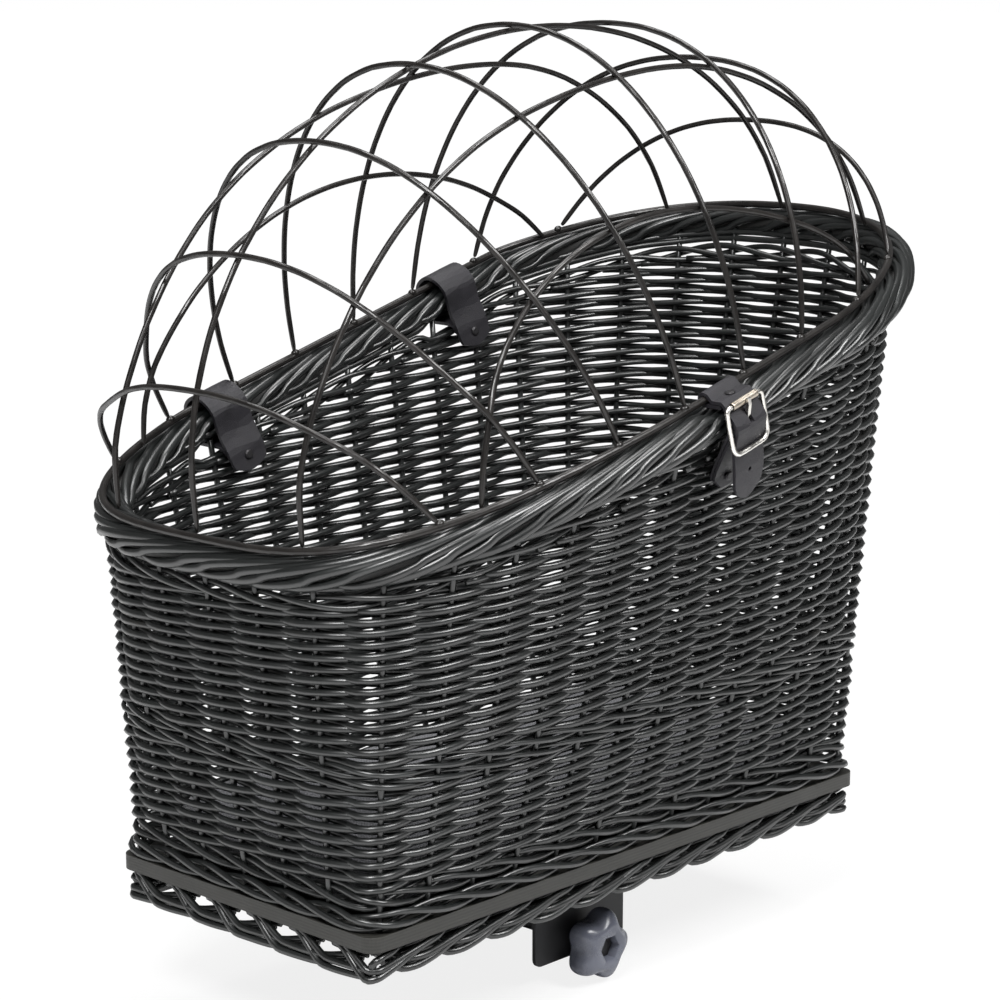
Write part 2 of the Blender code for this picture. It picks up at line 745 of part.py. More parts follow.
def dome_height(u, v, drop):
    """Height of the dome over the ring's plane, lowered and drawn in by a drop."""
    length = HALF_RING - drop
    along = np.clip(np.abs(u) / length, 0, 1)
    cut = side_half_width(u, v) / np.maximum(full_half_width(u), GAP)
    across = np.abs(v) / np.maximum(spread(u) * cut - drop, GAP)
    exponent = end_exponent(u)
    edge = np.clip((along ** exponent + across ** exponent) ** (1 / exponent), 0, 1)
    soft = np.clip((along ** DOME_PLAN_EXPONENT + across ** DOME_PLAN_EXPONENT) ** (1 / DOME_PLAN_EXPONENT), 0, 1)
    gauge = soft + (edge - soft) * edge ** 6
    crown = (DOME_HEIGHT - drop) * (1 - DOME_TAPER_SHARE * u / HALF_RING)
    return crown * (1 - gauge ** DOME_CROWN_EXPONENT) ** (1 / DOME_SHOULDER_EXPONENT)


def climb(u, v, lean, drop):
    """Lift points of a plane that leans along the basket until they meet the dome."""
    low = np.zeros_like(u)
    high = np.full_like(u, DOME_HEIGHT * 1.1)
    for _ in range(40):
        middle = (low + high) / 2
        inside = dome_height(u + lean * middle, v, drop) > middle
        low = np.where(inside, middle, low)
        high = np.where(inside, high, middle)
    height = (low + high) / 2
    return np.stack((u + lean * height, v, height), axis=1)


def reach(u, v, step_u, step_v, height):
    """Farthest points along a direction that the inner layer still covers at a height."""
    low = np.zeros_like(height)
    high = np.full_like(height, RING_LENGTH)
    for _ in range(40):
        middle = (low + high) / 2
        inside = dome_height(u + step_u * middle, v + step_v * middle, HOOP_LAYER_DROP) > height
        low = np.where(inside, middle, low)
        high = np.where(inside, high, middle)
    return np.stack((u + step_u * low, v + step_v * low, height), axis=1)


def even_steps(points, count):
    """The line of points again, at even steps of its length."""
    along = lengths_along(points)
    goal = np.linspace(0, along[-1], count)
    return np.stack([np.interp(goal, along, points[:, i]) for i in range(3)], axis=1)


def trim_ends(points, low, high):
    """Cut a line of points back by a length at each end."""
    along = lengths_along(points)
    inside = (along > low) & (along < along[-1] - high)
    goal = np.concatenate(((low,), along[inside], (along[-1] - high,)))
    return np.stack([np.interp(goal, along, points[:, i]) for i in range(3)], axis=1)


def across_hoop(foot_share):
    """Centre line of a hoop from side to side, leaning along the basket."""
    foot = foot_share * HALF_RING
    base, slope, curve = ACROSS_LEAN_SHARES
    lean = base + slope * foot_share + curve * foot_share ** 2
    far = float(side_half_width(foot, 1))
    near = float(side_half_width(foot, -1))
    turn = np.linspace(0, math.pi, 241)
    v = (far - near) / 2 - (far + near) / 2 * np.cos(turn)
    u = np.full_like(v, foot)
    line = climb(u, v, lean, 0.0)
    line[0] = (foot, -near, 0)
    line[-1] = (foot, far, 0)
    slant = math.sqrt(1 + lean ** 2)
    clearance = (RING_WIRE_RADIUS + GAP) * slant + HOOP_WIRE_RADIUS * abs(lean)
    return even_steps(trim_ends(line, clearance, clearance), HOOP_SEGMENTS + 1)


def hoop_turn():
    """Shares from one foot of a hoop to the other, closer together at the feet."""
    return 0.5 - 0.5 * np.cos(np.linspace(0, math.pi, 241))


def inner_hoop(v_low, v_high):
    """Centre line of an upright hoop from end to end, drawn inside the hoops across it."""
    ends = []
    for v, side in ((v_low, -1), (v_high, 1)):
        ends.append(reach(np.zeros(1), np.full(1, v), side, 0, np.zeros(1))[0])
    u = ends[0][0] + (ends[1][0] - ends[0][0]) * hoop_turn()
    v = v_low + (v_high - v_low) * hoop_turn()
    return even_steps(climb(u, v, 0.0, HOOP_LAYER_DROP), HOOP_SEGMENTS + 1)


def side_hoop(foot_shares, side):
    """Centre line of a low hoop along one side of the dome, an arch skewed to the low end."""
    low, high = (share * HALF_RING for share in foot_shares)
    share = 2 * hoop_turn() - 1
    skewed = share + SIDE_HOOP_SKEW_SHARE * (1 - share ** 2)
    height = SIDE_HOOP_HEIGHT * np.clip(1 - skewed ** 2, 0, 1) ** SIDE_HOOP_EXPONENT
    u = (low + high) / 2 + (high - low) / 2 * share
    return even_steps(reach(u, np.zeros_like(u), 0, side, height), HOOP_SEGMENTS + 1)


def along_hoop_lines():
    """Centre lines of the five hoops along the basket, near side first."""
    low, high = (share * RING_SPREAD for share in INNER_HOOP_SHARES)
    return [
        side_hoop(NEAR_SIDE_HOOP_SHARES, -1), inner_hoop(-low, -high), inner_hoop(0.0, 0.0),
        inner_hoop(low, high), side_hoop(FAR_SIDE_HOOP_SHARES, 1),
    ]


def make_hoops(wire, lid_axis):
    """The thirteen bent wires of the dome, each ending at the ring."""
    shift = np.array((0.0, FAR_HALF_WIDTH, 0.0))
    lines = [("across", across_hoop(share)) for share in ACROSS_FOOT_SHARES]
    lines += [("along", line) for line in along_hoop_lines()]
    counts = {"across": 0, "along": 0}
    for family, line in lines:
        counts[family] += 1
        sections = tube_sections(line - shift, HOOP_WIRE_RADIUS, HOOP_SIDES)
        verts, faces = loft(sections, closed_run=False)
        make_object(f"hoop_{family}_{counts[family]}", verts, faces, wire, lid_axis)


def hinge_strap_path(place):
    """Middle line of a hinge strap round the ring and the border.

    The back end comes up along the inner face of the wall, goes out under
    the border, up its outer face, over the ring and down again in front.
    """
    half = HINGE_STRAP_THICKNESS / 2
    outer = BORDER_OUT + GAP + half
    inner = -(BORDER_IN + 2 * GAP + half)
    under = BORDER_BOTTOM - GAP - half
    turn = 2 * HINGE_STRAP_THICKNESS

    def wall_face(drop):
        face = wall_offset(drop, place, FAR_HALF_WIDTH) - WALL_THICKNESS / 2 - HINGE_WALL_CLEARANCE - half
        return (face, -drop)

    back_top = -under + turn
    back = [wall_face(HINGE_BACK_LENGTH), wall_face((HINGE_BACK_LENGTH + back_top) / 2), wall_face(back_top)]
    out_run = [(inner - half * 1.2, under - turn * 0.5), (inner + turn * 0.3, under - turn * 0.06)]
    out_run += [(inner + turn, under), (outer - turn, under)]
    outer_rise = [(outer - turn / 4, under + turn / 4), (outer, under + turn)]
    top = HINGE_STRAP_BULGE
    shoulder = BORDER_TOP - BORDER_HEIGHT / 4
    over = [(outer, shoulder), (outer * 0.86, shoulder * 0.12), (outer * 0.52, top * 0.55), (outer * 0.14, top),
            (inner * 0.22, top * 0.92), (inner * 0.68, top * 0.36), (inner * 0.97, shoulder * 0.45), (inner, shoulder)]
    front_back = wall_face(back_top)
    layer = HINGE_STRAP_THICKNESS + GAP
    slope = (wall_face(HINGE_FRONT_LENGTH)[0] - front_back[0]) / (HINGE_FRONT_LENGTH - back_top)
    lead = back_top - turn
    down = [(inner, -lead + turn * 1.6), (front_back[0] - layer * 1.2, -back_top + turn * 0.2)]
    end_face = wall_face(HINGE_FRONT_LENGTH)
    beside = front_back[0] - layer * 1.05 + slope * (HINGE_BACK_LENGTH - back_top) / 2
    down += [(beside, -(HINGE_BACK_LENGTH + back_top) / 2)]
    down += [(end_face[0] - layer * 1.05, end_face[1])]
    return back + out_run + outer_rise + over + down


def make_hinge_straps(leather, nickel, rim_frame, rim_wale):
    """The two leather loops that hinge the lid, each closed by a rivet."""
    half = HINGE_STRAP_THICKNESS / 2
    for index, share in enumerate(HINGE_STRAP_PLACE_SHARES):
        place = share * HALF_RING
        path = refine(hinge_strap_path(place), HINGE_STRAP_THICKNESS * 3)
        widths = end_widths(path, HINGE_STRAP_WIDTH / 2, HINGE_STRAP_WIDTH / 2, 0.2, HINGE_STRAP_WIDTH / 3, 0.35)
        strap = make_strap(f"hinge_strap_{index + 1}", path, widths, HINGE_STRAP_THICKNESS, place,
                           FAR_HALF_WIDTH, 1, leather, rim_frame)
        face = wall_offset(HINGE_RIVET_DROP, place, FAR_HALF_WIDTH) - WALL_THICKNESS / 2 - HINGE_WALL_CLEARANCE
        lower = wall_offset(HINGE_FRONT_LENGTH, place, FAR_HALF_WIDTH)
        lean = (lower - wall_offset(HINGE_RIVET_DROP, place, FAR_HALF_WIDTH)) / (HINGE_FRONT_LENGTH - HINGE_RIVET_DROP)
        middle = face - HINGE_STRAP_THICKNESS - GAP / 2
        spot = section_point(middle, -HINGE_RIVET_DROP, place, FAR_HALF_WIDTH, 1)
        rotation = axis_rotation(1.0, lean, 1)
        grip = 2 * HINGE_STRAP_THICKNESS + 5 * GAP
        verts, faces = loft(rivet_rings(grip), closed_run=False)
        make_object(f"hinge_rivet_{index + 1}", verts, faces, nickel, rim_frame, spot, rotation)
        hole = make_rod(f"hinge_rivet_hole_{index + 1}", RIVET_SHANK_RADIUS + GAP, grip + 2 * CUT_OVERRUN,
                        RIVET_SIDES, parent=rim_frame, location=spot, rotation=rotation)
        add_cut(strap, hole)
        reach = BORDER_OUT + BORDER_IN
        width = HINGE_STRAP_WIDTH / 2 + 2 * GAP
        under = BORDER_BOTTOM - 2 * GAP - HINGE_STRAP_THICKNESS * 2
        slot = make_box(f"hinge_slot_{index + 1}", (place - width, FAR_HALF_WIDTH - reach, under),
                        (place + width, FAR_HALF_WIDTH + reach, BORDER_BOTTOM + CUT_OVERRUN), parent=rim_frame)
        add_cut(rim_wale, slot)


def buckle_points():
    """Section places of the buckle's bars: top, centre and bottom, as (n, w)."""
    top = (BUCKLE_OUT, -BUCKLE_DROP)
    centre = (BUCKLE_OUT - CENTRE_BAR_SETBACK, -BUCKLE_DROP - CENTRE_BAR_DROP)
    bottom = (BUCKLE_OUT, -BUCKLE_DROP - BUCKLE_HEIGHT)
    return top, centre, bottom


def billet_slant():
    """The strap's run from behind the roller to in front of the centre bar."""
    half = BILLET_THICKNESS / 2
    top, centre, _ = buckle_points()
    behind_roller = top[0] - ROLLER_RADIUS - GAP - half
    over_bar = centre[0] + CENTRE_BAR_RADIUS + GAP + CHAPE_THICKNESS + GAP + half
    return [(behind_roller, top[1] - half * 1.4), (over_bar, centre[1] + half * 1.4)]


def billet_path():
    """Middle line of the closure strap.

    It starts as a short lap under the ring, goes round the ring, runs out
    over the border, passes behind the roller, over the centre bar and
    behind the bottom bar, and hangs down to its point.
    """
    half = BILLET_THICKNESS / 2
    turn = RING_WIRE_RADIUS + GAP + half
    _, centre, bottom = buckle_points()
    slant = billet_slant()
    behind_roller = slant[0][0]
    behind_bottom = bottom[0] - BUCKLE_WIRE_RADIUS - GAP - half
    upper = -turn + BILLET_THICKNESS + GAP
    bend = behind_roller - BILLET_RIVET_OFFSET
    path = [(BILLET_LAP, -turn)]
    path += arc((0, 0), turn, 270, 33, 10)
    path += [(BILLET_RIVET_OFFSET - RIVET_HEAD_RADIUS * 1.1, upper)]
    path += [(BILLET_RIVET_OFFSET + RIVET_HEAD_RADIUS * 1.1, upper)]
    path += [(behind_roller - bend * 0.22, upper - bend * 0.16), (behind_roller, upper - bend * 0.42)]
    path += [*slant, (slant[1][0], centre[1] - half * 0.9)]
    path += [(behind_bottom, bottom[1] + half * 0.9), (behind_bottom, bottom[1] - half * 0.9)]
    tip = (BILLET_TIP_OFFSET, -BILLET_TIP_DROP)
    for share in (0.35, 0.7, 1.0):
        n = behind_bottom + (tip[0] - behind_bottom) * share ** 1.6
        w = (bottom[1] - half) + (tip[1] - bottom[1] + half) * share
        path.append((n, w))
    return path


def make_billet(leather, nickel, lid_axis, rim_frame, rim_border):
    """The closure strap, riveted round the lid ring."""
    path = refine(billet_path(), BILLET_THICKNESS * 3)
    widths = end_widths(path, BILLET_WIDTH / 2, GAP, 1.0, BILLET_WIDTH * 0.62, 0.16)
    strap = make_strap("billet_strap", path, widths, BILLET_THICKNESS, CLOSURE_PLACE, NEAR_HALF_WIDTH, -1,
                       leather, lid_axis, origin=(0, FAR_HALF_WIDTH, 0))
    turn = RING_WIRE_RADIUS + GAP + BILLET_THICKNESS / 2
    middle = -turn + (BILLET_THICKNESS + GAP) / 2
    grip = 2 * BILLET_THICKNESS + 3 * GAP
    shift = Vector((0, -FAR_HALF_WIDTH, 0))
    spot = section_point(BILLET_RIVET_OFFSET, middle, CLOSURE_PLACE, NEAR_HALF_WIDTH, -1)
    verts, faces = loft(rivet_rings(grip), closed_run=False)
    make_object("billet_rivet", verts, faces, nickel, lid_axis, spot + shift)
    hole = make_rod("billet_rivet_hole", RIVET_SHANK_RADIUS + GAP, grip + CUT_OVERRUN, RIVET_SIDES,
                    parent=lid_axis, location=spot + shift)
    add_cut(strap, hole)
    cut_prong_slot(strap, lid_axis, shift)
    spare = section_point(BUCKLE_OUT, -BILLET_SPARE_HOLE_DROP, CLOSURE_PLACE, NEAR_HALF_WIDTH, -1)
    spare_hole = make_rod("billet_spare_hole", BILLET_HOLE_RADIUS, 4 * BUCKLE_OUT, RIVET_SIDES, parent=lid_axis,
                          location=spare + shift, rotation=axis_rotation(1, 0, 1))
    add_cut(strap, spare_hole)
    width = BILLET_WIDTH / 2 + 2 * GAP
    floor = middle - grip / 2 - RIVET_HEAD_HEIGHT - 2 * GAP
    inner = turn + BILLET_THICKNESS / 2 + 2 * GAP
    near = -(NEAR_HALF_WIDTH + BORDER_OUT + CUT_OVERRUN)
    recess = make_box("closure_recess", (CLOSURE_PLACE - width, near, floor),
                      (CLOSURE_PLACE + width, -NEAR_HALF_WIDTH + inner, CUT_OVERRUN), parent=rim_frame)
    add_cut(rim_border, recess)


def prong_line():
    """Middle line of the prong from its eye to its tip on the roller."""
    top, centre, _ = buckle_points()
    eye = CENTRE_BAR_RADIUS + GAP + PRONG_EYE_WALL
    front = top[0] + ROLLER_RADIUS + GAP + PRONG_THICKNESS / 2
    start = (centre[0] + eye * 0.45, centre[1] + eye * 0.86)
    return [start, (front, top[1] - ROLLER_RADIUS * 0.9), (front, top[1] + ROLLER_RADIUS * 0.75)]


def cut_prong_slot(strap, lid_axis, shift):
    """The hole in the closure strap that the prong stands in."""
    strap_line = np.array(billet_slant())
    prong = np.array(prong_line())
    heights = np.linspace(prong[0, 1], prong[1, 1], 200)
    prong_n = np.interp(heights, prong[:2, 1], prong[:2, 0])
    strap_n = np.interp(heights, strap_line[::-1, 1], strap_line[::-1, 0])
    crossing = heights[int(np.argmin(np.abs(prong_n - strap_n)))]
    above = BILLET_THICKNESS + PRONG_THICKNESS / 2
    below = above + PRONG_THICKNESS / 2
    low = section_point(BUCKLE_OUT * 2, crossing - below, CLOSURE_PLACE, NEAR_HALF_WIDTH, -1) + shift
    high = section_point(BORDER_OUT / 2, crossing + above, CLOSURE_PLACE, NEAR_HALF_WIDTH, -1) + shift
    half = Vector((PRONG_WIDTH / 2 + GAP, 0, 0))
    slot = make_box("prong_slot", low - half, high + half, parent=lid_axis)
    add_cut(strap, slot)


def make_buckle(nickel, rim_frame):
    """Buckle frame with its centre bar, the loose roller and the prong."""
    top, centre, bottom = buckle_points()
    half_width = BUCKLE_WIDTH / 2
    half_height = BUCKLE_HEIGHT / 2
    outline = rounded_rectangle(half_width, half_height, BUCKLE_CORNER_RADIUS, 4)
    sharp = BUCKLE_WIRE_RADIUS
    loop = []
    for x, y in outline:
        if y > 0:
            square = rounded_rectangle(half_width, half_height, 2 * sharp, 4)
            index = int(np.argmin(np.hypot(outline[:, 0] - x, outline[:, 1] - y)))
            x, y = square[index]
        loop.append((CLOSURE_PLACE + x, -(NEAR_HALF_WIDTH + BUCKLE_OUT), (top[1] + bottom[1]) / 2 + y))
    sections = tube_sections(loop, BUCKLE_WIRE_RADIUS, 10, closed=True)
    verts, faces = loft(sections, closed_run=True)
    frame = make_object("buckle_frame", verts, faces, nickel, rim_frame)
    bend = CENTRE_BAR_SETBACK
    bar_line = []
    for share_u, share_n in ((-1.0, 0.0), (-0.93, 0.55), (-0.84, 1.0), (0.84, 1.0), (0.93, 0.55), (1.0, 0.0)):
        place = CLOSURE_PLACE + share_u * half_width
        bar_line.append(section_point(BUCKLE_OUT - bend * share_n, centre[1], place, NEAR_HALF_WIDTH, -1))
    bar_verts, bar_faces = loft(tube_sections(bar_line, CENTRE_BAR_RADIUS, 8), closed_run=False)
    bar = make_object("centre_bar", bar_verts, bar_faces, nickel, rim_frame)
    add_cut(frame, bar, "UNION")
    make_roller(nickel, rim_frame, top)
    make_prong(nickel, rim_frame, centre)


def make_roller(nickel, rim_frame, top):
    """The tube that turns on the buckle's top bar."""
    length = BUCKLE_WIDTH - 2 * (2 * BUCKLE_WIRE_RADIUS + BUCKLE_WIRE_RADIUS + GAP)
    outer = circle(ROLLER_RADIUS, ROUND_SIDES)
    inner = circle(ROLLER_RADIUS - ROLLER_WALL + GAP / 3, ROUND_SIDES)
    rings = turned([(outer, -length / 2), (outer, length / 2), (inner, length / 2), (inner, -length / 2)])
    verts, faces = loft(rings, closed_run=True)
    spot = section_point(*top, CLOSURE_PLACE, NEAR_HALF_WIDTH, -1)
    make_object("buckle_roller", verts, faces, nickel, rim_frame, spot, (0, math.radians(90), 0))


def make_prong(nickel, rim_frame, centre):
    """The prong, a flat bar with an eye round the centre bar."""
    eye_inner = CENTRE_BAR_RADIUS + GAP
    eye_outer = eye_inner + PRONG_EYE_WALL
    middle = np.array(prong_line()) - np.array(centre)
    left = offset_path(middle, PRONG_THICKNESS / 2)
    right = offset_path(middle, -PRONG_THICKNESS / 2)
    start = math.degrees(math.atan2(left[0][1], left[0][0]))
    end = math.degrees(math.atan2(right[0][1], right[0][0])) + 360
    eye = arc((0, 0), eye_outer, start, end, 14)
    outline = [*eye[1:-1], *[tuple(p) for p in right[1:]], *[tuple(p) for p in left[:0:-1]]]
    hole = circle(eye_inner, 12, math.pi / 12)
    spot = section_point(*centre, CLOSURE_PLACE, NEAR_HALF_WIDTH, -1)
    turned_plane = Matrix(((0, 0, 1), (-1, 0, 0), (0, 1, 0))).to_euler()
    make_plate("buckle_prong", outline, [hole], PRONG_WIDTH, nickel, rim_frame, spot, turned_plane)


def chape_back_path():
    """Middle line of the chape's back layer, from the centre bar to its end."""
    _, centre, _ = buckle_points()
    half = CHAPE_THICKNESS / 2
    bar = CENTRE_BAR_RADIUS + GAP + half

    def wall_face(drop):
        return (wall_offset(drop, CLOSURE_PLACE, NEAR_HALF_WIDTH) + WALL_THICKNESS / 2 + GAP * 2 + half, -drop)

    beside = centre[0] - bar
    corner = (BORDER_OUT * 0.68 + half, BORDER_BOTTOM - BORDER_HEIGHT * 0.03)
    settle = wall_face(CHAPE_RIVET_DROP - RIVET_HEAD_RADIUS * 1.3)
    start = [(beside, centre[1]), (beside - GAP, BORDER_TOP - BORDER_HEIGHT * 0.80), corner]
    mid = [((corner[0] * 0.55 + settle[0] * 0.45), (corner[1] * 0.55 + settle[1] * 0.45))]
    return start + mid + [settle, wall_face(CHAPE_RIVET_DROP), wall_face(CHAPE_END_DROP)]


def make_chape(leather, nickel, rim_frame, upper_wall):
    """The doubled strap that holds the buckle, riveted through the wall."""
    _, centre, _ = buckle_points()
    half = CHAPE_THICKNESS / 2
    bar = CENTRE_BAR_RADIUS + GAP + half
    back = chape_back_path()
    front = offset_path(back, CHAPE_THICKNESS + GAP)
    around = arc(centre, bar, 180, -45, 10)
    path = [*back[::-1], *around[1:], *[tuple(p) for p in front[2:]]]
    path = refine(path, CHAPE_THICKNESS * 5)
    widths = end_widths(path, CHAPE_WIDTH / 2, CHAPE_WIDTH / 4, 0.45, CHAPE_WIDTH / 4, 0.45)
    chape = make_strap("chape_strap", path, widths, CHAPE_THICKNESS, CLOSURE_PLACE, NEAR_HALF_WIDTH, -1,
                       leather, rim_frame)
    reach = bar + half + CHAPE_THICKNESS
    slot_half = PRONG_WIDTH / 2 + GAP
    middle = section_point(*centre, CLOSURE_PLACE, NEAR_HALF_WIDTH, -1)
    low = middle - Vector((slot_half, reach, bar * 2))
    slot = make_box("chape_slot", low, middle + Vector((slot_half, reach, reach)), parent=rim_frame)
    add_cut(chape, slot)
    make_chape_rivet(nickel, rim_frame, chape, upper_wall)


def make_chape_rivet(nickel, rim_frame, chape, upper_wall):
    """Rivet through both layers of the chape and the wall, with its washer inside."""
    drop = CHAPE_RIVET_DROP
    below = wall_offset(drop + WALL_THICKNESS, CLOSURE_PLACE, NEAR_HALF_WIDTH)
    lean = wall_offset(drop, CLOSURE_PLACE, NEAR_HALF_WIDTH) - below
    run = Vector((lean, WALL_THICKNESS)).normalized()
    normal = Vector((run.y, -run.x))
    middle = Vector((wall_offset(drop, CLOSURE_PLACE, NEAR_HALF_WIDTH), -drop))
    half_wall = WALL_THICKNESS / 2
    outer = half_wall + 2 * GAP + 2 * CHAPE_THICKNESS + 3 * GAP
    inner = -half_wall - GAP - WASHER_THICKNESS - GAP
    grip = outer - inner
    spot2 = middle + normal * (outer + inner) / 2
    rotation = axis_rotation(normal.x, normal.y, -1)
    spot = section_point(*spot2, CLOSURE_PLACE, NEAR_HALF_WIDTH, -1)
    verts, faces = loft(rivet_rings(grip), closed_run=False)
    make_object("chape_rivet", verts, faces, nickel, rim_frame, spot, rotation)
    washer_spot2 = middle + normal * (-half_wall - GAP - WASHER_THICKNESS / 2)
    washer_spot = section_point(*washer_spot2, CLOSURE_PLACE, NEAR_HALF_WIDTH, -1)
    washer_hole = circle(RIVET_SHANK_RADIUS + GAP, RIVET_SIDES)
    make_plate("chape_washer", circle(WASHER_RADIUS, ROUND_SIDES), [washer_hole],
               WASHER_THICKNESS, nickel, rim_frame, washer_spot, rotation, smooth=True)
    hole = make_rod("chape_rivet_hole", RIVET_SHANK_RADIUS + GAP, grip + CUT_OVERRUN, RIVET_SIDES,
                    parent=rim_frame, location=spot, rotation=rotation)
    add_cut(chape, hole)
    add_cut(upper_wall, hole)


def make_cushion(cloth):
    """The loose cushion, crowned on top, with sides drawn in between its corners."""
    inset = WALL_EDGE_INSET + WALL_THICKNESS + CUSHION_SIDE_CLEARANCE
    half_x = BOARD_LENGTH / 2 - inset
    half_y = BOARD_WIDTH / 2 - inset
    outline = rounded_rectangle(half_x, half_y, CUSHION_CORNER_RADIUS, 8)
    plan = resample(outline, np.arange(CUSHION_STATIONS) / CUSHION_STATIONS)
    normals = outward(plan)
    pull_x = (1 - (np.abs(plan[:, 0]) / half_x) ** 2) * (np.abs(normals[:, 1]) > 0.9)
    pull_y = (1 - (np.abs(plan[:, 1]) / half_y) ** 2) * (np.abs(normals[:, 0]) > 0.9)
    plan = plan - normals * (CUSHION_DRAW_IN * (pull_x + pull_y))[:, None]
    rings = []
    for reach, height in CUSHION_PROFILE_SHARES:
        rings.append((plan * reach, height * CUSHION_HEIGHT))
    verts, faces = loft(turned(rings), closed_run=False)
    make_object("cushion", verts, faces, cloth, location=(0, 0, BOARD_TOP + GAP))


def screw_places():
    """Plan places of the four rail screws."""
    x = RAIL_WIDTH / 2 + RAIL_FLANGE / 2
    y = SCREW_SPACING_Y / 2
    return [(sx * x, sy * y) for sx in (-1, 1) for sy in (-1, 1)]


def make_screws(nickel):
    """Countersunk screws through the board and the rail's flanges, with their nuts."""
    flange_bottom = BOARD_BOTTOM - GAP - RAIL_SHEET
    nut_middle = flange_bottom - GAP - SCREW_NUT_HEIGHT / 2
    end = nut_middle - SCREW_NUT_HEIGHT / 2 - SCREW_END
    top = BOARD_TOP - GAP
    for index, (x, y) in enumerate(screw_places()):
        rings = turned([
            (circle(SCREW_RADIUS, SCREW_SIDES), end),
            (circle(SCREW_RADIUS, SCREW_SIDES), top - SCREW_HEAD_HEIGHT),
            (circle(SCREW_HEAD_RADIUS, SCREW_SIDES), top - GAP),
            (circle(SCREW_HEAD_RADIUS, SCREW_SIDES), top),
        ])
        verts, faces = loft(rings, closed_run=False)
        make_object(f"rail_screw_{index + 1}", verts, faces, nickel, location=(x, y, 0))
        make_plate(f"rail_nut_{index + 1}", hexagon(SCREW_NUT_FLATS, 12), [circle(SCREW_RADIUS + GAP, SCREW_SIDES)],
                   SCREW_NUT_HEIGHT, nickel, location=(x, y, nut_middle))


def make_rail(steel):
    """The hat-shaped rail under the board, slotted for the jaws."""
    half = RAIL_WIDTH / 2
    reach = half + RAIL_FLANGE
    top = BOARD_BOTTOM - GAP
    sheet = RAIL_SHEET
    outline = [(-half, 0), (half, 0), (half, top - sheet), (reach, top - sheet), (reach, top), (half - sheet, top),
               (half - sheet, sheet), (-half + sheet, sheet), (-half + sheet, top), (-reach, top),
               (-reach, top - sheet), (-half, top - sheet)]
    rail = make_plate("clamp_rail", outline, [], RAIL_LENGTH, steel, rotation=(math.radians(90), 0, 0))
    slot_half = JAW_NECK_WIDTH / 2 + 2 * GAP
    grip = JAW_GRIP_SPACING / 2
    near_low = -(grip + JAW_SHEET + JAW_OPENING_TRAVEL + 2 * GAP)
    near_high = -(grip - JAW_CLOSING_TRAVEL - 2 * GAP)
    spans = (("near_jaw_slot", near_low, near_high), ("far_jaw_slot", grip - GAP, grip + JAW_SHEET + GAP))
    for name, low, high in spans:
        add_cut(rail, make_box(name, (-slot_half, low, -CUT_OVERRUN), (slot_half, high, sheet + CUT_OVERRUN)))
    for index, (x, y) in enumerate(screw_places()):
        hole = make_rod(f"rail_hole_{index + 1}", SCREW_RADIUS + GAP, 2 * CUT_OVERRUN, SCREW_SIDES,
                        location=(x, y, top - sheet / 2))
        add_cut(rail, hole)


def make_jaw(name, side, steel):
    """A clamp jaw: a plate beside the carrier, hung from a tongue in the rail."""
    middle = side * (JAW_GRIP_SPACING / 2 + JAW_SHEET / 2)
    half = JAW_WIDTH / 2
    neck = JAW_NECK_WIDTH / 2
    tongue_low = RAIL_SHEET + GAP
    radius = JAW_CORNER_RADIUS
    low_corners = [*arc((-half + radius, -JAW_DROP + radius), radius, 180, 270, 4),
                   *arc((half - radius, -JAW_DROP + radius), radius, 270, 360, 4)]
    outline = [*low_corners, (half, -JAW_TOP_CLEARANCE), (neck, -JAW_TOP_CLEARANCE), (neck, tongue_low + JAW_SHEET / 2),
               (-neck, tongue_low + JAW_SHEET / 2), (-neck, -JAW_TOP_CLEARANCE), (-half, -JAW_TOP_CLEARANCE)]
    hole = circle(BOLT_RADIUS + BOLT_HOLE_CLEARANCE, ROUND_SIDES) + np.array((0, -BOLT_DROP))
    jaw = make_plate(name, outline, [hole], JAW_SHEET, steel, location=(0, middle, 0), rotation=(math.radians(90), 0, 0))
    wide = JAW_TONGUE_WIDTH / 2
    reach = JAW_TONGUE_LENGTH / 2
    high = (wide, middle + reach, tongue_low + JAW_SHEET)
    tongue = make_box(f"{name}_tongue", (-wide, middle - reach, tongue_low), high)
    add_cut(jaw, tongue, "UNION")


def make_clamp_bolt(steel):
    """The long bolt through both jaws, its head outside the far one."""
    head_start = JAW_GRIP_SPACING / 2 + JAW_SHEET + GAP
    head = hexagon(BOLT_HEAD_FLATS, ROUND_SIDES * 3)
    shank = circle(BOLT_RADIUS, ROUND_SIDES * 3)
    rings = turned([
        (head, -head_start - BOLT_HEAD_HEIGHT), (head, -head_start), (shank, -head_start), (shank, BOLT_NEAR_REACH),
    ])
    verts, faces = loft(rings, closed_run=False)
    make_object("clamp_bolt", verts, faces, steel, location=(0, 0, -BOLT_DROP), rotation=(math.radians(90), 0, 0))


def star(radius, lobe_depth):
    """A round outline with soft lobes."""
    angles = np.arange(KNOB_STATIONS) * 2 * math.pi / KNOB_STATIONS
    reach = radius - lobe_depth * (0.5 - 0.5 * np.cos(KNOB_LOBES * angles))
    return np.stack((reach * np.cos(angles), reach * np.sin(angles)), axis=1)


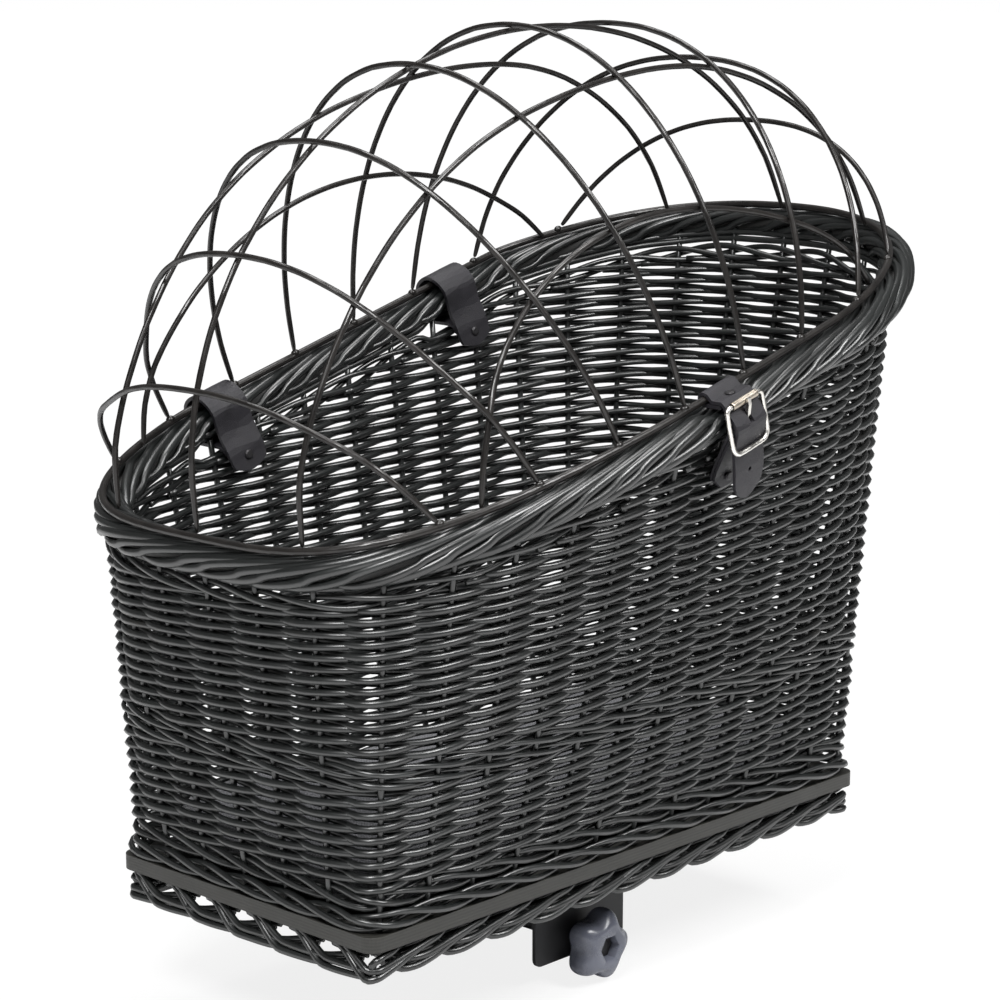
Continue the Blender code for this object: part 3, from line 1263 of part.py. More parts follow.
def make_knob(plastic, nickel):
    """The star knob with its captive nut and the washer that it turns on."""
    jaw_face = -(JAW_GRIP_SPACING / 2 + JAW_SHEET)
    washer_middle = jaw_face - GAP - KNOB_WASHER_THICKNESS / 2
    knob_back = jaw_face - 2 * GAP - KNOB_WASHER_THICKNESS
    axis = make_empty("knob_axis", (0, knob_back, -BOLT_DROP), (math.radians(90), 0, 0))
    bore = circle(BOLT_RADIUS + BOLT_HOLE_CLEARANCE, KNOB_STATIONS)
    pocket = hexagon(BOLT_HEAD_FLATS + 2 * KNOB_NUT_CLEARANCE, KNOB_STATIONS)
    floor = KNOB_DEPTH - KNOB_POCKET_DEPTH
    rings = []
    for reach, depth in KNOB_PROFILE_SHARES:
        lobe = KNOB_LOBE_DEPTH * max(0.0, (reach - KNOB_PROFILE_SHARES[0][0]) * 2)
        rings.append((star(KNOB_RADIUS * reach, lobe), KNOB_DEPTH * depth))
    rings += [(pocket, KNOB_DEPTH), (pocket, floor), (bore, floor), (bore, 0.0)]
    verts, faces = loft(turned(rings), closed_run=True)
    make_object("star_knob", verts, faces, plastic, axis)
    nut_middle = floor + GAP + KNOB_NUT_HEIGHT / 2
    hole = circle(BOLT_RADIUS + BOLT_HOLE_CLEARANCE, ROUND_SIDES)
    make_plate("knob_nut", hexagon(BOLT_HEAD_FLATS, 12), [hole], KNOB_NUT_HEIGHT, nickel, axis, (0, 0, nut_middle))
    make_plate("knob_washer", circle(KNOB_WASHER_RADIUS, ROUND_SIDES), [hole], KNOB_WASHER_THICKNESS, nickel,
               axis, (0, 0, knob_back - washer_middle), smooth=True)


def build():
    """Make every piece of the basket."""
    clear_scene()
    willow = make_material("stained_willow", (0.035, 0.037, 0.036), 0.42)
    wood = make_material("stained_plywood", (0.05, 0.043, 0.036), 0.55)
    wire = make_material("coated_wire", (0.02, 0.02, 0.021), 0.38, 0.2)
    leather = make_material("dark_leather", (0.035, 0.032, 0.04), 0.5)
    nickel = make_material("nickel_plate", (0.78, 0.75, 0.69), 0.25, 1.0)
    steel = make_material("black_steel", (0.02, 0.02, 0.022), 0.5, 0.4)
    plastic = make_material("knob_plastic", (0.075, 0.08, 0.095), 0.45)
    cloth = make_material("cushion_cloth", (0.09, 0.09, 0.1), 0.9)

    rim_frame = make_empty("rim_frame", (RIM_SHIFT, 0, RIM_HEIGHT), (0, -RIM_TILT, 0))
    lid_axis = make_empty("lid_axis", (0, FAR_HALF_WIDTH, 0), parent=rim_frame)

    make_board(wood)
    make_foot_border(willow)
    upper_wall, rim_wale = make_walls(willow)
    rim_border = make_rim_border(willow, rim_frame)
    make_cushion(cloth)
    make_lid_ring(wire, lid_axis)
    make_hoops(wire, lid_axis)
    make_hinge_straps(leather, nickel, rim_frame, rim_wale)
    make_billet(leather, nickel, lid_axis, rim_frame, rim_border)
    make_buckle(nickel, rim_frame)
    make_chape(leather, nickel, rim_frame, upper_wall)
    make_rail(steel)
    make_jaw("near_jaw", -1, steel)
    make_jaw("far_jaw", 1, steel)
    make_clamp_bolt(steel)
    make_knob(plastic, nickel)
    make_screws(nickel)


build()
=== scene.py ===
"""Looks of a willow dog basket for a bicycle carrier: the weave, wires, leather, metal and cushion.

Metres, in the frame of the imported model: +X towards the high end of the rim,
-Y the side with the closure strap, +Z up.
"""

import logging
import math
from collections.abc import Callable
from dataclasses import dataclass, field
from enum import Enum

import bpy
import numpy as np
from mathutils import Euler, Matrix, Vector


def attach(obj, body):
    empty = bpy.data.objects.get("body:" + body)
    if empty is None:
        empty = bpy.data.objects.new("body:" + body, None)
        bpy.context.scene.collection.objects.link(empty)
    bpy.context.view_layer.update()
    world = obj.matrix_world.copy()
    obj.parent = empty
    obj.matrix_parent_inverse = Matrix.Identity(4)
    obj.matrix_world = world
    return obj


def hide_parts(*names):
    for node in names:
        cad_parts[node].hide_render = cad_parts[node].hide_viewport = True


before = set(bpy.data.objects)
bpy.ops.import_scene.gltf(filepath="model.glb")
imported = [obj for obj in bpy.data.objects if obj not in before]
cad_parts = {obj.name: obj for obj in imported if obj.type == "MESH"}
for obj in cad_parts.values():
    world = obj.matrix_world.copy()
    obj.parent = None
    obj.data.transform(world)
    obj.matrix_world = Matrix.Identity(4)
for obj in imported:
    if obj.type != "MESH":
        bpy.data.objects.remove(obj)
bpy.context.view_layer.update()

LOG = logging.getLogger("basket")
TURN = 2 * math.pi
FINE = 2880
SPAN_STEPS = 12
JOIN_DISTANCE = 0.000002
EDGE_ANGLE = math.radians(40)
WHITE = (1.0, 1.0, 1.0)

Array = np.ndarray
Triple = tuple[float, float, float]
Span = tuple[float, float]
Place = Callable[[Array, Array, Array], tuple[Array, Array]]


# Numbers and curves


def smooth_step(value: Array, low: float, high: float) -> Array:
    """Rise from 0 at low to 1 at high along a cubic."""
    share = np.clip((np.asarray(value, float) - low) / (high - low), 0.0, 1.0)
    return share * share * (3.0 - 2.0 * share)


def wander(positions: Array, rng: np.random.Generator, waves: int, reach: float) -> Array:
    """A smooth random line: a few sines with random waves and starts, added up.

    Args:
        positions: Places along the line, in shares of its length.
        rng: Seeded source of the waves and their starts.
        waves: How many sines are added.
        reach: The largest number of turns on the line.

    Returns:
        Values of about -1 to 1, one for each position.
    """
    turns = np.round(rng.uniform(1.0, reach, waves))
    starts = rng.uniform(0.0, TURN, waves)
    lines = np.sin(TURN * np.outer(positions, turns) + starts)
    return lines.sum(axis=1) / math.sqrt(waves)


@dataclass(frozen=True)
class Waver:
    """Unevenness of hand work: how far a line strays, and how many sines of what reach draw it."""

    size: float
    waves: int
    reach: float

    def line(self, positions: Array, rng: np.random.Generator) -> Array:
        """A smooth random line of this size."""
        return self.size * wander(positions, rng, self.waves, self.reach)


def unit(vectors: Array) -> Array:
    """The vectors, each scaled to a length of one."""
    return vectors / np.maximum(np.linalg.norm(vectors, axis=-1, keepdims=True), 1e-12)


def along(points: Array) -> Array:
    """Distance of each point from the start of an open line."""
    steps = np.linalg.norm(np.diff(points, axis=0), axis=1)
    return np.concatenate(((0.0,), np.cumsum(steps)))


def read_at(goal: Array, places: Array, table: Array) -> Array:
    """Each column of a table, read between its rows at the goal's places."""
    return np.stack([np.interp(goal, places, column) for column in table.T], axis=1)


def full_turn(count: int) -> Array:
    """Even angles of one turn, without the last that would meet the first."""
    return np.arange(count) * TURN / count


def chart_of(run: Array, ring: Array) -> Array:
    """Map coordinates of a grid from its place along the run and round the ring."""
    return np.stack(np.broadcast_arrays(run[:, None], ring[None, :]), axis=-1)


def flowing(points: Array, step: float) -> Array:
    """An open line drawn smoothly through points, at even steps.

    Each span is a Catmull-Rom cubic, whose slope at a point is half the step
    between that point's neighbours.

    Args:
        points: The points, one row each.
        step: The distance between the line's new points.

    Returns:
        The new points.
    """
    padded = np.vstack((2 * points[0] - points[1], points, 2 * points[-1] - points[-2]))
    share = (np.arange(SPAN_STEPS) / SPAN_STEPS)[None, :, None]
    a, b, c, d = (padded[k: k + len(points) - 1][:, None, :] for k in range(4))
    cubic = 0.5 * (2 * b + (c - a) * share + (2 * a - 5 * b + 4 * c - d) * share**2
                   + (3 * b - a - 3 * c + d) * share**3)
    line = np.vstack((cubic.reshape(-1, points.shape[1]), points[-1:]))
    lengths = along(line)
    goal = np.linspace(0.0, lengths[-1], max(8, int(lengths[-1] / step)))
    return read_at(goal, lengths, line)


# Meshes


@dataclass
class Mesh:
    """Points, quads, a map along each rod and a tint for each rod, gathered for one piece."""

    points: list[Array] = field(default_factory=list)
    quads: list[Array] = field(default_factory=list)
    maps: list[Array] = field(default_factory=list)
    tints: list[Array] = field(default_factory=list)
    count: int = 0

    def add(self, grid: Array, chart: Array, tint: float, closed: bool = False,
            caps: bool = False) -> None:
        """Add a grid of points, whose rings each close on themselves, as a skin of quads.

        Args:
            grid: Points by run and ring, whose ring turns right-handed about the run.
            chart: Map coordinates of the same points.
            tint: One value for the whole skin, from 0 to 1.
            closed: Whether the last ring joins the first.
            caps: Whether the two end rings are filled.
        """
        runs, sides = grid.shape[:2]
        i = np.arange(runs if closed else runs - 1)[:, None]
        j = np.arange(sides)[None, :]
        after_i = (i + 1) % runs
        after_j = (j + 1) % sides
        near, far = i * sides, after_i * sides
        faces = np.stack((near + j, near + after_j, far + after_j, far + j), axis=-1)
        shape = faces.shape[:2]
        faces = faces.reshape(-1, 4)
        chart = chart.reshape(-1, 2)
        corners = chart[faces]
        corners[np.broadcast_to(after_j < j, shape).ravel(), 1:3, 1] += 1.0
        whole_run = 2 * chart[-sides, 0] - chart[-2 * sides, 0] - chart[0, 0]
        corners[np.broadcast_to(after_i < i, shape).ravel(), 2:4, 0] += whole_run
        if caps:
            k = np.arange(0, sides - 2, 2)
            fan = np.stack((np.zeros_like(k), k + 1, k + 2, np.minimum(k + 3, sides - 1)), axis=-1)
            ends = np.vstack((fan[:, ::-1], fan + (runs - 1) * sides))
            faces = np.vstack((faces, ends))
            corners = np.vstack((corners, chart[ends]))
        self.quads.append(faces + self.count)
        self.points.append(grid.reshape(-1, 3))
        self.maps.append(corners.reshape(-1, 2))
        self.tints.append(np.full(runs * sides, tint))
        self.count += runs * sides

    def piece(self, name: str, finish: bpy.types.Material, body: str,
              nodes: tuple[str, ...] = ()) -> bpy.types.Object:
        """Make one object of all the skins, and let it ride on its body.

        Args:
            name: Name of the piece.
            finish: Its material.
            body: The body that carries it.
            nodes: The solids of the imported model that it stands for.

        Returns:
            The new object.
        """
        points = np.vstack(self.points)
        quads = np.vstack(self.quads)
        mesh = bpy.data.meshes.new(name)
        mesh.vertices.add(len(points))
        mesh.vertices.foreach_set("co", points.astype(np.float32).ravel())
        mesh.loops.add(quads.size)
        mesh.loops.foreach_set("vertex_index", quads.astype(np.int32).ravel())
        mesh.polygons.add(len(quads))
        mesh.polygons.foreach_set("loop_start", np.arange(0, quads.size, 4, dtype=np.int32))
        mesh.polygons.foreach_set("use_smooth", np.full(len(quads), True))
        mesh.update(calc_edges=True)
        chart = mesh.uv_layers.new(name="length")
        chart.data.foreach_set("uv", np.vstack(self.maps).astype(np.float32).ravel())
        tint = mesh.attributes.new("tint", "FLOAT", "POINT")
        tint.data.foreach_set("value", np.concatenate(self.tints).astype(np.float32))
        mesh.validate(clean_customdata=False)
        mesh.materials.append(finish)
        made = bpy.data.objects.new(name, mesh)
        bpy.context.scene.collection.objects.link(made)
        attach(made, body)
        if nodes:
            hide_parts(*nodes)
        LOG.info("%s: %d quads", name, len(quads))
        return made

    def willow(self, name: str, *nodes: str) -> None:
        """Make one object of all the skins, as willow of the basket that stands for the nodes."""
        self.piece(name, Finish.WILLOW.material(), "basket", nodes)


def rod(mesh: Mesh, path: Array, radius: Array | float, outward: Array, tint: float, sides: int = 6,
        closed: bool = False) -> None:
    """Add a round rod: a circle of the radius carried square to the path.

    Args:
        mesh: Where the rod goes.
        path: Middle points of the rod.
        radius: One radius, or one for each point.
        outward: Directions that start each circle, one for each point.
        tint: The rod's own tint.
        sides: Points in a circle.
        closed: Whether the path joins its start.
    """
    if closed:
        tangent = unit(np.roll(path, -1, axis=0) - np.roll(path, 1, axis=0))
    else:
        tangent = unit(np.gradient(path, axis=0))
    first = unit(outward - tangent * np.sum(outward * tangent, axis=1, keepdims=True))
    second = np.cross(tangent, first)
    angle = full_turn(sides)[None, :, None]
    reach = np.broadcast_to(radius, len(path))[:, None, None]
    ring = np.cos(angle) * first[:, None] + np.sin(angle) * second[:, None]
    grid = path[:, None] + reach * ring
    chart = chart_of(along(path), np.arange(sides) / sides)
    mesh.add(grid, chart + np.array((tint * 7.3, 0.0)), tint, closed, not closed)


# The basket's own curves


@dataclass(frozen=True)
class Rim:
    """The tilted rim: an egg in plan whose two sides are straight."""

    half_length: float = 0.2632
    spread: float = 0.1648
    taper: float = 0.0928
    low_exponent: float = 3.53
    high_exponent: float = 2.30
    near: float = 0.1615
    far: float = 0.1525
    ease: float = 0.003
    border_shift: float = 0.004
    shift: float = 0.012
    height: float = 0.3074
    tilt: float = math.radians(15.84)
    border_top: float = -0.0024
    border_height: float = 0.0216
    border_reach: float = 0.012

    def half_width(self, u: Array, side: Array) -> Array:
        """Half-width of the egg on a side, eased into that side's straight line.

        The egg is a power of its length whose spread grows evenly to the high
        end, and a square law rounds it off where it meets the line.

        Args:
            u: Places along the rim.
            side: Positive for the far side, negative for the near side.

        Returns:
            The half-width at each place.
        """
        exponent = np.where(u < 0, self.low_exponent, self.high_exponent)
        share = np.clip(np.abs(u) / self.half_length, 0, 1)
        fullness = (1 - share**exponent) ** (1 / exponent)
        egg = self.spread * (1 + self.taper * u / self.half_length) * fullness
        limit = np.where(side > 0, self.far, self.near)
        ease = self.ease * limit
        over = np.clip(egg - (limit - ease), 0, 2 * ease)
        return np.where(egg > limit + ease, limit, egg - over**2 / (4 * ease))

    def plan(self, shares: Array) -> Array:
        """Places (u, v) on the lid ring at shares of its length, from its high end anticlockwise.

        Args:
            shares: Shares of the ring's length.

        Returns:
            One row for each share.
        """
        angle = full_turn(FINE)
        cosine = np.cos(angle)
        exponent = np.where(cosine < 0, self.low_exponent, self.high_exponent)
        u = self.half_length * np.sign(cosine) * np.abs(cosine) ** (2 / exponent)
        side = np.where(angle <= math.pi, 1, -1)
        ring = np.stack((u, side * self.half_width(u, side)), axis=1)
        ring = np.vstack((ring, ring[:1]))
        lengths = along(ring)
        return read_at(np.mod(shares, 1.0) * lengths[-1], lengths, ring)

    def border(self, shares: Array) -> tuple[Array, Array]:
        """Middle line of the woven border in plan.

        Args:
            shares: Shares of the ring's length.

        Returns:
            The places and their outward normals.
        """
        step = 2.0 / FINE
        run = unit(self.plan(shares + step) - self.plan(shares - step))
        normal = np.stack((run[:, 1], -run[:, 0]), axis=1)
        return self.plan(shares) + np.array((self.border_shift, 0.0)), normal

    def world(self, u: Array, v: Array, w: Array) -> Array:
        """World places of points (u, v, w): turned by the tilt, then shifted and raised.

        Args:
            u: Places along the rim.
            v: Places across it.
            w: Heights square to it.

        Returns:
            The world places, with the coordinates last.
        """
        cosine, sine = math.cos(self.tilt), math.sin(self.tilt)
        u, v, w = np.broadcast_arrays(u, v, w)
        x = self.shift + u * cosine - w * sine
        return np.stack((x, v, self.height + u * sine + w * cosine), axis=-1)

    def turn(self, directions: Array) -> Array:
        """World directions of directions (u, v, w)."""
        return self.world(*np.moveaxis(directions, -1, 0)) - self.world(0, 0, 0)


RIM = Rim()


@dataclass
class Wall:
    """Middle surface of the woven wall, ruled from the board's edge up to the rim."""

    half_x: float = 0.2067
    half_y: float = 0.0992
    corner: float = 0.0115
    bottom: float = 0.0299
    top_inset: float = 0.0005
    stakes: int = 36

    def __post_init__(self) -> None:
        """Work out the wall's lower and upper edges at many even shares of their length."""
        shares = np.arange(FINE) / FINE
        low = self._rounded_rectangle(shares)
        run = unit(np.roll(low, -1, axis=0) - np.roll(low, 1, axis=0))
        plan, normal = RIM.border(shares)
        top = plan - self.top_inset * normal
        high = RIM.world(top[:, 0], top[:, 1], 0.0)
        table = np.column_stack((low, run[:, 1], -run[:, 0], high, normal))
        self.shares = np.concatenate((shares, (1.0,)))
        self.table = np.vstack((table, table[:1]))

    def _rounded_rectangle(self, shares: Array) -> Array:
        """Points of the lower edge: four straight sides joined by quarter circles.

        Args:
            shares: Shares of the edge's length, from the middle of the high end.

        Returns:
            One row (x, y) for each share.
        """
        quarter = np.linspace(0, math.pi / 2, 25)
        signs = ((1, 1), (-1, 1), (-1, -1), (1, -1))
        corners = []
        for k, (x, y) in enumerate(signs):
            centre = np.array((x * (self.half_x - self.corner), y * (self.half_y - self.corner)))
            angle = quarter + k * math.pi / 2
            corners.append(centre + self.corner * np.stack((np.cos(angle), np.sin(angle)), axis=1))
        start = np.array(((self.half_x, 0.0),))
        ring = np.vstack((start, *corners, start))
        lengths = along(ring)
        return read_at(shares * lengths[-1], lengths, ring)

    def edges(self, shares: Array) -> Array:
        """Rows of the table at shares: low (x, y), its normal, high (x, y, z), its normal."""
        return read_at(np.mod(shares, 1.0), self.shares, self.table)

    def at(self, shares: Array, climb: Array | float, offset: Array | float) -> tuple[Array, Array]:
        """Points a share of the way up the wall, moved out level.

        Args:
            shares: Shares of the way round.
            climb: Shares of the way up.
            offset: Distances outwards.

        Returns:
            The points and the outward directions.
        """
        row = self.edges(shares)
        climb = np.broadcast_to(climb, len(row))[:, None]
        offset = np.broadcast_to(offset, len(row))[:, None]
        low = np.column_stack((row[:, :2], np.full(len(row), self.bottom)))
        normal = unit(row[:, 2:4] * (1 - climb) + row[:, 7:9] * climb)
        outward = np.column_stack((normal, np.zeros(len(row))))
        return low + (row[:, 4:7] - low) * climb + outward * offset, outward

    def at_height(self, shares: Array, height: Array, offset: Array) -> tuple[Array, Array]:
        """Points of the wall at a height, moved out level by an offset."""
        climb = (height - self.bottom) / (self.edges(shares)[:, 6] - self.bottom)
        return self.at(shares, climb, offset)

    def climb_of_depth(self, shares: Array, depth: Array | float) -> Array:
        """Share of the way up at which the wall lies a depth below the tilted rim.

        Args:
            shares: Shares of the way round.
            depth: Heights square to the rim, negative below it.

        Returns:
            The shares of the way up.
        """
        row = self.edges(shares)
        sine, cosine = math.sin(RIM.tilt), math.cos(RIM.tilt)
        low = -(row[:, 0] - RIM.shift) * sine + (self.bottom - RIM.height) * cosine
        return (depth - low) / -low

    def at_depth(self, shares: Array, depth: Array, offset: Array) -> tuple[Array, Array]:
        """Points of the wall at a depth below the tilted rim."""
        return self.at(shares, self.climb_of_depth(shares, depth), offset)


# Finishes


class Nodes:
    """A short way to place and join shader nodes."""

    def __init__(self, tree: bpy.types.NodeTree) -> None:
        """Work in a node tree."""
        self.tree = tree

    def feed(self, node: bpy.types.Node, values: dict) -> None:
        """Give a node's inputs their values.

        Args:
            node: The node.
            values: Inputs by name or number: a plain value, or an output to join.
        """
        for key, value in values.items():
            if isinstance(value, bpy.types.NodeSocket):
                self.tree.links.new(value, node.inputs[key])
            else:
                node.inputs[key].default_value = value

    def add(self, kind: str, values: dict | None = None, **settings: object) -> bpy.types.Node:
        """Place a node.

        Args:
            kind: Blender's name for the node.
            values: Inputs by name or number: a plain value, or an output to join.
            settings: Properties of the node.

        Returns:
            The node.
        """
        node = self.tree.nodes.new(kind)
        for key, value in settings.items():
            setattr(node, key, value)
        self.feed(node, values or {})
        return node

    def maths(self, operation: str, first: object, second: object = 0.0) -> bpy.types.NodeSocket:
        """The result of a sum on two values."""
        return self.add("ShaderNodeMath", {0: first, 1: second}, operation=operation).outputs[0]

    def blend(self, factor: object, low: object, high: object) -> bpy.types.NodeSocket:
        """A colour between two colours.

        Args:
            factor: Share of the second colour.
            low: The first colour.
            high: The second colour.

        Returns:
            The mixed colour.
        """
        node = self.add("ShaderNodeMix", data_type="RGBA")
        colours = [k for k, socket in enumerate(node.inputs) if socket.type == "RGBA"]
        self.feed(node, {0: factor, colours[0]: low, colours[1]: high})
        return [socket for socket in node.outputs if socket.type == "RGBA"][0]

    def spread(self, value: object, low: float, high: float, start: float = 0.0,
               end: float = 1.0) -> bpy.types.NodeSocket:
        """A value moved from one span to another, and held inside it.

        Args:
            value: The value.
            low: What start becomes.
            high: What end becomes.
            start: Start of the value's span.
            end: End of the value's span.

        Returns:
            The moved value.
        """
        node = self.add("ShaderNodeMapRange", {
            "Value": value, "From Min": start, "From Max": end, "To Min": low, "To Max": high})
        return node.outputs["Result"]

    def noise(self, vector: object, scale: object, detail: float,
              roughness: float = 0.5) -> bpy.types.NodeSocket:
        """Values of a noise at a vector."""
        return self.add("ShaderNodeTexNoise", {
            "Vector": vector, "Scale": scale, "Detail": detail, "Roughness": roughness}).outputs[0]

    def place(self) -> bpy.types.NodeSocket:
        """The place on the object."""
        return self.add("ShaderNodeTexCoord").outputs["Object"]

    def split(self, vector: object) -> bpy.types.NodeOutputs:
        """The three parts of a vector."""
        return self.add("ShaderNodeSeparateXYZ", {0: vector}).outputs

    def bump(self, height: object, strength: float, distance: float) -> bpy.types.NodeSocket:
        """Normals of a surface that a height raises."""
        return self.add("ShaderNodeBump", {
            "Strength": strength, "Distance": distance, "Height": height}).outputs[0]

    def shown(self) -> bpy.types.NodeSocket:
        """1 where the camera looks straight at a thing or through glass, else 0."""
        path = self.add("ShaderNodeLightPath").outputs
        return self.maths("MAXIMUM", path["Is Camera Ray"], path["Is Transmission Ray"])


def rgb(value: Triple) -> tuple[float, float, float, float]:
    """A colour with full cover."""
    return (*value, 1.0)


def new_group(name: str, inputs: dict[str, float | None]) \
        -> tuple[Nodes, bpy.types.NodeOutputs, bpy.types.Node]:
    """Start a shader node group that puts out a mask and a height.

    Args:
        name: Name of the group.
        inputs: Input names with their usual values; a vector has none.

    Returns:
        The group's node placer, its inputs and the node that takes its results.
    """
    tree = bpy.data.node_groups.new(name, "ShaderNodeTree")
    for label, value in inputs.items():
        kind = "NodeSocketVector" if value is None else "NodeSocketFloat"
        socket = tree.interface.new_socket(label, in_out="INPUT", socket_type=kind)
        if value is not None:
            socket.default_value = value
    for label in ("Mask", "Height"):
        tree.interface.new_socket(label, in_out="OUTPUT", socket_type="NodeSocketFloat")
    return Nodes(tree), tree.nodes.new("NodeGroupInput").outputs, tree.nodes.new("NodeGroupOutput")


def mottle_group() -> bpy.types.NodeTree:
    """Soft patches: two sizes of noise, mixed, as a mask and as a height.

    Returns:
        The group.
    """
    nodes, given, result = new_group(
        "mottle", {"Vector": None, "Scale": 30.0, "Fine Scale": 400.0, "Fine Share": 0.35})
    broad = nodes.noise(given["Vector"], given["Scale"], 3.0, 0.55)
    fine = nodes.noise(given["Vector"], given["Fine Scale"], 2.0, 0.6)
    mixed = nodes.maths("ADD", broad, nodes.maths("MULTIPLY", fine, given["Fine Share"]))
    nodes.feed(result, {"Mask": nodes.spread(mixed, 0.0, 1.0, 0.38, 0.95), "Height": fine})
    return nodes.tree


def streak_group() -> bpy.types.NodeTree:
    """Grain along a rod: noise drawn out along its length, as a mask and as a height.

    Returns:
        The group.
    """
    nodes, given, result = new_group("streaks", {"Vector": None, "Along": 60.0, "Around": 5.0})
    parts = nodes.split(given["Vector"])
    angle = nodes.maths("MULTIPLY", parts[1], TURN)
    drawn = nodes.add("ShaderNodeCombineXYZ", {
        0: nodes.maths("MULTIPLY", parts[0], given["Along"]),
        1: nodes.maths("MULTIPLY", nodes.maths("COSINE", angle), given["Around"]),
        2: nodes.maths("MULTIPLY", nodes.maths("SINE", angle), given["Around"])})
    grain = nodes.noise(drawn.outputs[0], 1.0, 2.0)
    nodes.feed(result, {"Mask": nodes.spread(grain, 0.0, 1.0, 0.3, 0.7), "Height": grain})
    return nodes.tree


def place_effect(nodes: Nodes, name: str, vector: bpy.types.NodeSocket,
                 **values: float) -> bpy.types.NodeOutputs:
    """Place a shared effect, made on its first use, in a material with its own values.

    Args:
        nodes: The material's node placer.
        name: Name of the effect.
        vector: Where it is read.
        values: Its other inputs, with their names in small letters.

    Returns:
        The effect's mask and height.
    """
    makers = {"mottle": mottle_group, "streaks": streak_group}
    group = bpy.data.node_groups.get(name) or makers[name]()
    node = nodes.add("ShaderNodeGroup", node_tree=group)
    named = {key.replace("_", " ").title(): value for key, value in values.items()}
    nodes.feed(node, {"Vector": vector, **named})
    return node.outputs


def start_material(name: str) -> tuple[bpy.types.Material, Nodes, bpy.types.Node]:
    """Start a material.

    Args:
        name: Name of the material.

    Returns:
        The material, its node placer and its Principled shader.
    """
    material = bpy.data.materials.new(name)
    material.use_nodes = True
    return material, Nodes(material.node_tree), material.node_tree.nodes["Principled BSDF"]


@dataclass(frozen=True)
class Willow:
    """Stained willow rods: near black, grained along the rod, with a soft shine."""

    name: str = "stained_willow_rods"
    dark: Triple = (0.0022, 0.0027, 0.0026)
    light: Triple = (0.0130, 0.0147, 0.0144)
    bare: Triple = (0.060, 0.052, 0.040)
    rough: Span = (0.27, 0.42)
    specular: float = 0.8
    grain_share: float = 0.18
    tint_share: float = 0.7
    wear: float = 0.35
    wear_start: float = 0.72

    def build(self) -> bpy.types.Material:
        """Make the material. The rod's own length and tint drive grain and shade.

        Returns:
            The material.
        """
        material, nodes, shader = start_material(self.name)
        chart = nodes.add("ShaderNodeUVMap", uv_map="length").outputs[0]
        tint = nodes.add("ShaderNodeAttribute", attribute_name="tint").outputs["Fac"]
        grain = place_effect(nodes, "streaks", chart, along=30.0, around=0.7)
        patches = place_effect(nodes, "mottle", nodes.place(), scale=22.0, fine_scale=900.0,
                               fine_share=0.25)
        shade = nodes.maths("ADD", nodes.maths("MULTIPLY", grain["Mask"], self.grain_share),
                            nodes.maths("MULTIPLY", tint, self.tint_share))
        worn = nodes.spread(patches["Mask"], 0.0, self.wear, self.wear_start)
        worn = nodes.maths("MULTIPLY", worn, grain["Mask"])
        stain = nodes.blend(shade, rgb(self.dark), rgb(self.light))
        nodes.feed(shader, {
            "Base Color": nodes.blend(worn, stain, rgb(self.bare)),
            "Roughness": nodes.spread(patches["Mask"], *self.rough),
            "Specular IOR Level": self.specular,
            "Normal": nodes.bump(grain["Height"], 0.12, 0.0002)})
        return material


@dataclass(frozen=True)
class Plywood:
    """Stained plywood with its layers showing on the edge."""

    name: str = "layered_plywood"
    dark: Triple = (0.010, 0.0098, 0.0085)
    light: Triple = (0.034, 0.0335, 0.029)
    rough: Span = (0.45, 0.62)
    layer: float = 0.0009
    grain_scale: Triple = (14.0, 160.0, 900.0)
    layer_share: float = 0.4
    grain_share: float = 0.6

    def build(self) -> bpy.types.Material:
        """Make the material. The layers follow the height, and the grain runs along the board.

        Returns:
            The material.
        """
        material, nodes, shader = start_material(self.name)
        place = nodes.place()
        turns = nodes.maths("MULTIPLY", nodes.split(place)[2], TURN / (2 * self.layer))
        layers = nodes.spread(nodes.maths("SINE", turns), 0.0, 1.0, -0.5, 0.5)
        drawn = nodes.add("ShaderNodeMapping", {"Vector": place, "Scale": self.grain_scale})
        grain = nodes.noise(drawn.outputs[0], 1.0, 5.0)
        patches = place_effect(nodes, "mottle", place, scale=25.0, fine_scale=500.0, fine_share=0.3)
        shade = nodes.maths("ADD", nodes.maths("MULTIPLY", layers, self.layer_share),
                            nodes.maths("MULTIPLY", grain, self.grain_share))
        shade = nodes.maths("MULTIPLY", shade, nodes.spread(patches["Mask"], 0.7, 1.1))
        nodes.feed(shader, {
            "Base Color": nodes.blend(shade, rgb(self.dark), rgb(self.light)),
            "Roughness": nodes.spread(patches["Mask"], *self.rough),
            "Normal": nodes.bump(grain, 0.3, 0.0004)})
        return material


@dataclass(frozen=True)
class Mottled:
    """A plain stuff with soft patches, a fine relief and an own shine."""

    name: str
    dark: Triple
    light: Triple
    rough: Span
    metallic: float = 0.0
    scale: float = 40.0
    fine_scale: float = 900.0
    fine_share: float = 0.35
    bump: float = 0.2
    bump_depth: float = 0.0002
    coat: float = 0.0

    def build(self) -> bpy.types.Material:
        """Make the material from the shared patches.

        Returns:
            The material.
        """
        material, nodes, shader = start_material(self.name)
        patches = place_effect(nodes, "mottle", nodes.place(), scale=self.scale,
                               fine_scale=self.fine_scale, fine_share=self.fine_share)
        nodes.feed(shader, {
            "Base Color": nodes.blend(patches["Mask"], rgb(self.dark), rgb(self.light)),
            "Roughness": nodes.spread(patches["Mask"], *self.rough),
            "Metallic": self.metallic,
            "Coat Weight": self.coat,
            "Normal": nodes.bump(patches["Height"], self.bump, self.bump_depth)})
        return material


